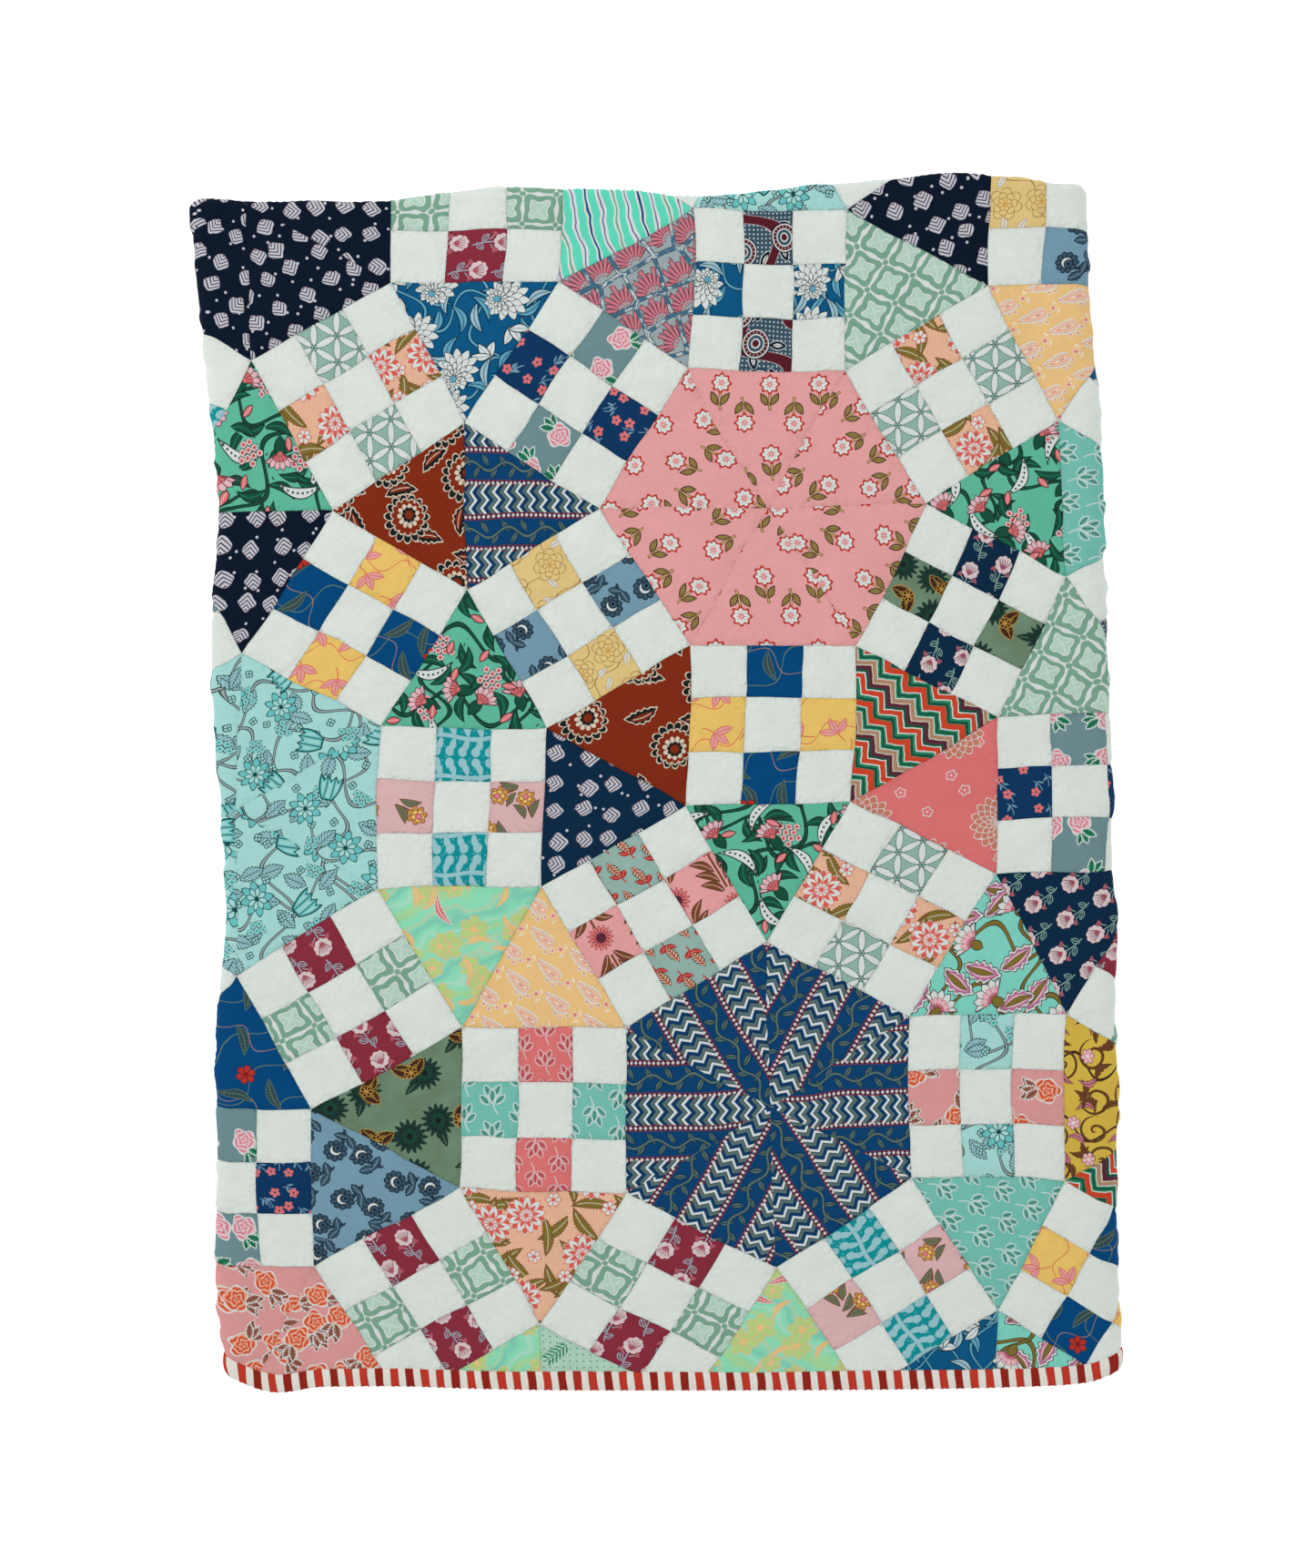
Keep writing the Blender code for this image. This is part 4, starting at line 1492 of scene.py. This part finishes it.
def print_olive_flower(p):
    p.lay(p.inside(p.noise(24.0) - 0.48, 0.35) * 0.4, "leaf")
    x, y = p.scattered(48, 0.7, shift=5, spin=0.5)
    p.leaf(*p.turned(x, y + 13.0, 90), 12, 3.4, "forest", ("black", 0.6), saw=3.0, vein="moss")
    p.flower(x, y, 15.5, 15, "forest", ("black", 0.7), line="black", lobe=0.38, point=1.2)
    p.flower(
        *p.turned(x, y, 12), 9.5, 11, "forest", ("black", 0.8), line="dark_green", eye="black",
        eye_size=0.3, lobe=0.4, point=1.2,
    )
    x, y = p.scattered(62, 0.7, shift=57, spin=0.5)
    for side in (1.0, -1.0):
        lx, ly = p.turned(x * side - 6.0, y, 48)
        p.leaf(lx, ly, 10.0, 5.6, "dark_brown", ("ochre", 0.8), saw=2.6, vein="ochre", bend=0.02)
        p.leaf(lx + 2.0, ly - 1.6, 5.0, 1.5, "olive")
    p.flower(x, y + 4.0, 5.4, 7, "dark_brown", ("ochre", 0.7), line="ochre", eye="ochre")


def print_zigzag(p):
    x, y = p.turned(p.x, p.y, -77)
    s = p.repeat(y + abs(p.repeat(x, 26.0)) * 0.8 + (p.noise(9.0) - 0.5) * 2.2, 44.0)
    bands = (
        (-18.0, 3.4, "orange_red"), (-14.0, 0.6, "white"), (-10.2, 1.1, "dark_green"), (-6.4, 0.7, "white"),
        (-3.6, 2.3, "tan"), (-0.6, 0.7, "cream"), (2.3, 2.3, "grape"), (5.8, 1.3, "dark_green"),
        (8.2, 0.7, "white"), (11.8, 2.9, "orange_red"), (15.3, 0.7, "white"), (20.4, 1.5, "dark_green"),
    )
    for middle, half, ink in bands:
        p.lay(p.inside(abs(s - middle) - half), ink)


def print_coral_dahlia(p):
    p.flower(
        *p.scattered(36, 0.7, shift=40), 4.6, 5, "coral_red", ("white", 0.9), eye="white", eye_size=0.22,
        lobe=0.4,
    )
    x, y = p.scattered(98, 0.5, shift=12)
    for size, turn in ((26, 0.0), (21.5, 12.0), (17, 0.0), (12.5, 12.0), (8, 0.0), (4, 12.0)):
        p.flower(
            *p.turned(x, y, turn), size, 15, "dahlia", ("white", 0.9), line="white", lobe=0.24, point=1.7,
        )


def print_aqua_vine(p):
    p.corded_vine(58, 16, 80, ("forest", 4.0), ("grey", 1.9), tilt=60)
    p.corded_vine(78, 12, 60, ("forest", 4.0), ("grey", 1.9), tilt=-15, shift=2.2)
    for shift in (0, 29):
        p.leaf(
            *p.scattered(45, 0.85, shift=shift), 11.5, 5.4, "silver", ("forest", 1.1), saw=3.4,
            vein="forest", ribs=3.4,
        )
    p.flower(
        *p.scattered(27, 0.9, shift=250), 3.2, 4, "aqua", ("deep_teal", 1.0), line="deep_teal", lobe=0.35,
    )
    x, y = p.scattered(48, 0.85, shift=90)
    berries(p, x, y, 7.6, "lagoon", "deep_teal", "aqua")
    x, y = p.scattered(68, 0.7, shift=64, spin=0.5)
    for share, turn, ink in ((1.0, 0.0, "lagoon"), (0.62, 22.0, "aqua")):
        p.flower(
            *p.turned(x, y, turn), 15.5 * share, 8, ink, ("deep_teal", 1.2), line="deep_teal", lobe=0.42,
            point=1.3,
        )
    p.dot(x, y, 2.2, "deep_teal")
    x, y = p.scattered(74, 0.75, shift=154, spin=0.5)
    tip = abs(p.repeat(x, 7.0)) * 1.3
    cup = abs(x) - 9.5 - y * 0.12 + (y - 3.0) * (y - 3.0) * 0.02
    gap = cup.most(y - 10.0 + tip).most(-10.5 - y)
    p.shape(gap * 0.8, "lagoon", ("deep_teal", 1.3))
    p.lay(p.inside(gap + 1.4) * p.inside(abs(p.repeat(x + 3.5, 7.0)) - 1.5, 1.4), "aqua")
    p.lay(p.inside(gap) * p.inside(abs(p.repeat(x, 7.0)) - 0.45), "deep_teal")


def print_teal_leaf(p):
    y = p.repeat(p.y, 38.0)
    high = abs(y)
    place = p.repeat(p.x, 12.5)
    p.lay(p.inside(abs(y + (p.x / 9.0).sin() * 1.4) - 2.0), "silver")
    p.leaf(*p.turned(place + 1.0, high - 8.0, 68), 8.0, 3.0, "silver", bend=0.02)
    p.lay(p.inside(p.far(place - 2.0, (high - 13.6) * 0.85) - 4.0), "silver")
    p.dot(*p.scattered(6.0, 0.9, shift=5), 0.55, "pale_sky")


def print_pink_marigold(p):
    x, y = p.scattered(41, 0.5, shift=2, spin=0.3)
    p.twig(x, y, -18, 0, "brown", 1.8, bend=0.01)
    leaf = p.turned(abs(x) - 5.5, y + 8, 62)
    p.leaf(*leaf, 9.0, 3.0, "moss", ("brown", 0.9), vein="brown", bend=0.03, ribs=3.0)
    p.flower(x, y - 3, 8.6, 7, "ochre", ("maroon", 0.9), line="maroon", lobe=0.36)
    p.flower(x, y - 4, 5.8, 5, "yellow", ("maroon", 0.7), line="maroon", lobe=0.4)
    p.flower(x, y - 5, 3.0, 5, "rose", ("maroon", 0.5), eye="pink", lobe=0.4)


def print_mint_bloom(p):
    drift = (p.noise(30.0) - 0.5) * 34.0
    s = p.x * 0.8 + p.y + drift
    bands = ((0, 5.0, "lime"), (27, 4.0, "sea_green"), (36, 0.5, "peach"), (13, 0.6, "white"))
    for shift, wide, ink in bands:
        p.lay(p.inside(abs(p.repeat(s + shift, 54.0)) - wide, 3.6) * 0.6, ink)
    for shift, size in ((12, 13), (74, 9)):
        p.flower(
            *p.scattered(46, 0.85, shift=shift), size, 6, "lime", ("peach", 0.8), line="peach",
            eye="apricot", eye_size=0.25, lobe=0.35,
        )
    p.leaf(*p.scattered(38, 0.9, shift=66), 12, 2.4, "gold", ("peach", 0.6), vein="apricot", bend=0.03)
    p.leaf(
        *p.scattered(70, 0.9, shift=166), 15, 3.0, "coral_red", ("white", 0.7), saw=4.0, vein="white",
        bend=0.02,
    )


def print_wheat_bud(p):
    x, y, _ = p.half_drop(18, 31)
    lean = x + y * 0.25
    p.spray(lean, y + 8.0, (32, 148), 4.5, 5.2, 2.3, "red", ("wine", 0.4), vein="coral_red", bend=0.03)
    p.twig(lean, y, -14, -5, "red", 1.3)
    lx, ly = p.turned(lean, y - 2.0, 90)
    p.leaf(lx, ly, 9.0, 4.0, "black", ("black", 0.3), saw=2.6)
    scale_x = abs(p.repeat(lx + abs(ly) * 0.9, 3.0))
    p.lay(p.inside(scale_x - 0.95) * p.inside(abs(ly) - (1.0 - (lx / 9.0).power(2.0)) * 3.6), "peach")
    p.lay(p.inside(abs(ly) - 0.5) * p.inside(abs(lx) - 7.5), "red")


def print_pink_sunflower(p):
    x, y, _ = p.half_drop(46, 66)
    p.twig(x, y, -31, 8, "brown", 2.2)
    for height in (-24, -13, -2):
        leaf = p.turned(abs(x) - 9.5, y - height, 46)
        p.leaf(*leaf, 12.0, 3.5, "brown", ("dark_brown", 0.5), vein="pink", bend=0.02)
    p.flower(
        x, y - 16, 12.0, 15, "coral_red", ("wine", 0.7), line="wine", eye="grape", eye_size=0.4, lobe=0.34,
        point=1.3,
    )


def print_turquoise_leaf(p):
    p.corded_vine(58, 15, 70, ("dark_brown", 5.6), ("olive", 3.6), tilt=50)
    p.corded_vine(78, 10, 60, ("dark_brown", 4.4), ("olive", 2.4), tilt=-25, shift=1.4)
    for shift in (0, 58):
        x, y = p.scattered(58, 0.75, shift=shift)
        for back, long, wide, ink, rim, saw in (
            (0.0, 19, 9.2, "white", ("dark_brown", 1.1), 7.0),
            (0.5, 16.5, 7.0, "orchid", ("dark_brown", 0.4), 7.0),
            (1.0, 14.0, 4.9, "light_pink", None, 0.0),
            (2.0, 13.0, 2.4, "olive", ("dark_brown", 0.6), 0.0),
        ):
            p.leaf(x - back, y, long, wide, ink, rim, saw=saw, bend=0.006)
    x, y = p.scattered(60, 0.6, shift=99, spin=0.4)
    p.sector(x, y, 21, 1.05, 0.42, "white", ("dark_brown", 1.1))
    p.sector(x, y, 14, 0.95, 0.42, "light_pink", ("rose", 0.8))
    p.sector(x, y, 8, 0.9, 0.42, "rose", ("dark_brown", 0.5))
    p.leaf(*p.turned(x, y + 1.5, 90), 6.5, 4.4, "olive", ("dark_brown", 0.9))


def print_mustard_vine(p):
    p.vine(58, 9, 52, 2.6, "dark_brown", tilt=78)
    x, y = p.scattered(34, 0.5, shift=3)
    r = p.far(x, y)
    curl = p.repeat(r + p.way(x, y) * (10.0 / TURN), 10.0)
    p.lay(p.inside(abs(curl) - 1.2) * p.inside(r - 14.5), "dark_brown")
    p.lay(p.inside(abs(curl) - 0.5) * p.inside(r - 14.0), "brown")
    for shift, ink in ((41, "brown"), (141, "dusty_rose"), (241, "brown")):
        p.leaf(
            *p.scattered(33, 0.85, shift=shift), 9.0, 2.5, ink, ("dark_brown", 0.7), saw=3.5,
            vein="dark_brown", bend=0.06,
        )
    p.flower(
        *p.scattered(58, 0.5, shift=87), 6.2, 6, "light_pink", ("brown", 0.8), line="coral_red",
        eye="white", lobe=0.4,
    )


def print_salmon_rose(p):
    for shift in (7, 99):
        x, y = p.scattered(53, 0.75, shift=shift, spin=0.4)
        p.spray(
            x, y + 8, (-125, -90, -55), 7, 10.0, 3.6, "clay", ("white", 0.9), saw=3.5,
            vein="dark_brown", bend=0.02, ribs=3.0,
        )
        p.rose(x, y - 3, 12.6, "orange", "orange_red", "white", "clay", "dark_brown")


def sprig(p, wide, tall, size, ink, rim, line):
    """Rows of small tufts of ribbed buds, each tuft on a stem."""
    x, y, _ = p.half_drop(wide, tall)
    p.twig(x, y, -size, -size * 0.2, rim, 1.0, bend=0.02)
    buds = ((-0.42, -0.1, 135), (0.42, -0.1, 45), (-0.26, 0.40, 115), (0.26, 0.40, 65), (0.0, 0.12, 90))
    for side, up, turn in buds:
        place = p.turned(x - side * size, y - up * size, turn)
        p.leaf(*place, size * 0.36, size * 0.17, ink, (rim, size * 0.06), vein=line, ribs=size * 0.14)


def print_green_sprig(p):
    sprig(p, 25, 33, 15.5, "sea_green", "white", "forest")


def print_coral_sprig(p):
    sprig(p, 21, 28, 13.5, "coral_red", "blush", "maroon")


def print_fern(p):
    x, y = p.scattered(34, 0.6, shift=3)
    for height in (-10, -6, -2, 2, 6, 10):
        p.leaf(*p.turned(abs(x) - 3.6, y - height, 38), 5.2 - abs(height) * 0.15, 0.9, "mid_green")
    p.twig(x, y, -13, 13, "mid_green", 0.9)
    p.dot(p.repeat(p.x, 6.0), p.repeat(p.y, 6.0), 0.7, "mid_green")


# Each print's ground and the function that lays its inks
PRINTS = {
    "plain": ("plain", print_plain), "navy_shell": ("navy", print_navy_shell),
    "blue_shell": ("midnight", print_navy_shell), "trellis": ("white", print_trellis),
    "maroon_carnation": ("maroon", print_maroon_carnation),
    "navy_carnation": ("midnight", print_navy_carnation), "wave_stripe": ("mint", print_wave_stripe),
    "ginkgo_fan": ("grey", print_ginkgo_fan), "blue_chintz": ("bright_blue", print_blue_chintz),
    "medallion": ("steel", print_medallion), "pink_sprig": ("pink", print_pink_sprig),
    "star_petal": ("sage", print_star_petal), "peach_blossom": ("peach", print_peach_blossom),
    "blue_buds": ("deep_blue", print_blue_buds), "grey_rose": ("grey_blue", print_grey_rose),
    "green_chintz": ("green", print_green_chintz), "rust_flower": ("rust", print_rust_flower),
    "vine_stripe": ("cobalt", print_vine_stripe), "paisley": ("apricot", print_paisley),
    "yellow_flower": ("yellow", print_yellow_flower), "gold_flower": ("gold", print_gold_flower),
    "royal_branch": ("royal", print_royal_branch), "slate_flower": ("slate", print_slate_flower),
    "olive_flower": ("moss", print_olive_flower), "zigzag": ("mid_green", print_zigzag),
    "coral_dahlia": ("coral_red", print_coral_dahlia), "aqua_vine": ("aqua", print_aqua_vine),
    "teal_leaf": ("teal", print_teal_leaf), "pink_marigold": ("dusty_pink", print_pink_marigold),
    "mint_bloom": ("mint_water", print_mint_bloom), "wheat_bud": ("wheat", print_wheat_bud),
    "pink_sunflower": ("pink", print_pink_sunflower), "turquoise_leaf": ("turquoise", print_turquoise_leaf),
    "mustard_vine": ("mustard", print_mustard_vine), "salmon_rose": ("salmon", print_salmon_rose),
    "green_sprig": ("sea_green", print_green_sprig), "coral_sprig": ("coral_red", print_coral_sprig),
    "fern": ("pale_mint", print_fern),
}


def cotton(name):
    """The finished material of one print."""
    ground, draw = PRINTS[name]
    paint = Paint(name, ground)
    draw(paint)
    return paint.finish_and_shade()


def binding_cotton():
    """Cream cloth with bright red and darker red bars across the strip."""
    p = Paint("binding", "binding_cream")
    lean = (p.y - 21.0) * -0.12 + (p.noise(24.0) - 0.5) * 2.2
    place = p.x + lean
    off = abs(p.repeat(place, BAR_PITCH)) - BAR_WIDTH / 2
    dark = p.inside(((place / BAR_PITCH).floor() * 0.39).share() - 0.42, 0.01)
    p.shape(off, "brick", ("oxblood", 0.4))
    p.lay(p.inside(off) * (dark * 0.85), "oxblood")
    return p.finish_and_shade(0.8, seams=False)


def plain_material(name, inputs):
    """A material that looks the same all over."""
    material = bpy.data.materials.new(name)
    material.use_nodes = True
    fill(material.node_tree, material.node_tree.nodes["Principled BSDF"], inputs)
    return material


def set_camera():
    """The camera looks straight down, far enough back that the pile hardly spreads."""
    data = bpy.data.cameras.new("overhead_camera")
    data.sensor_fit = "VERTICAL"
    data.sensor_height = SENSOR
    data.lens = SENSOR * VIEW_FROM / VIEW_HEIGHT
    camera = bpy.data.objects.new("overhead_camera", data)
    camera.location = (0.0, 0.0, VIEW_FROM + VIEW_LEVEL)
    bpy.context.scene.collection.objects.link(camera)
    bpy.context.scene.camera = camera


def add_light(name, place, size, power, aim):
    """A square soft light that looks at a point."""
    data = bpy.data.lights.new(name, "AREA")
    data.size = size
    data.energy = power
    light = bpy.data.objects.new(name, data)
    light.location = place
    gap = mathutils.Vector(aim) - mathutils.Vector(place)
    light.rotation_euler = gap.to_track_quat("-Z", "Y").to_euler()
    bpy.context.scene.collection.objects.link(light)


def set_studio():
    """A pale floor under soft, nearly even light."""
    bpy.ops.mesh.primitive_plane_add(size=FLOOR_SIZE)
    floor = bpy.context.object
    floor.name = "studio_floor"
    floor.data.materials.append(plain_material("studio_white", {
        "Base Color": (FLOOR_TONE, FLOOR_TONE, FLOOR_TONE, 1.0), "Roughness": 0.9,
        "Emission Color": WHITE, "Emission Strength": FLOOR_GLOW,
    }))
    world = bpy.data.worlds.new("studio_air")
    world.use_nodes = True
    air = world.node_tree.nodes["Background"]
    fill(world.node_tree, air, {"Color": WHITE, "Strength": AIR_LIGHT})
    bpy.context.scene.world = world
    add_light("key_softbox", KEY_PLACE, KEY_SIZE, KEY_POWER, (0.0, 0.0, 0.0))
    bpy.context.scene.view_settings.view_transform = "Standard"


def main():
    """Sew the quilt, hide the frame's quilt sheet and binding, and set the studio up."""
    materials = {name: cotton(name) for name in PRINTS}
    patches = sew_patchwork(materials)
    backing = lay_backing(Paint("backing", "plain").finish_and_shade())
    binding = sew_binding(binding_cotton())
    for piece in patches + [backing]:
        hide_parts("quilt_sheet")
    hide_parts("binding")
    set_studio()
    set_camera()


main()
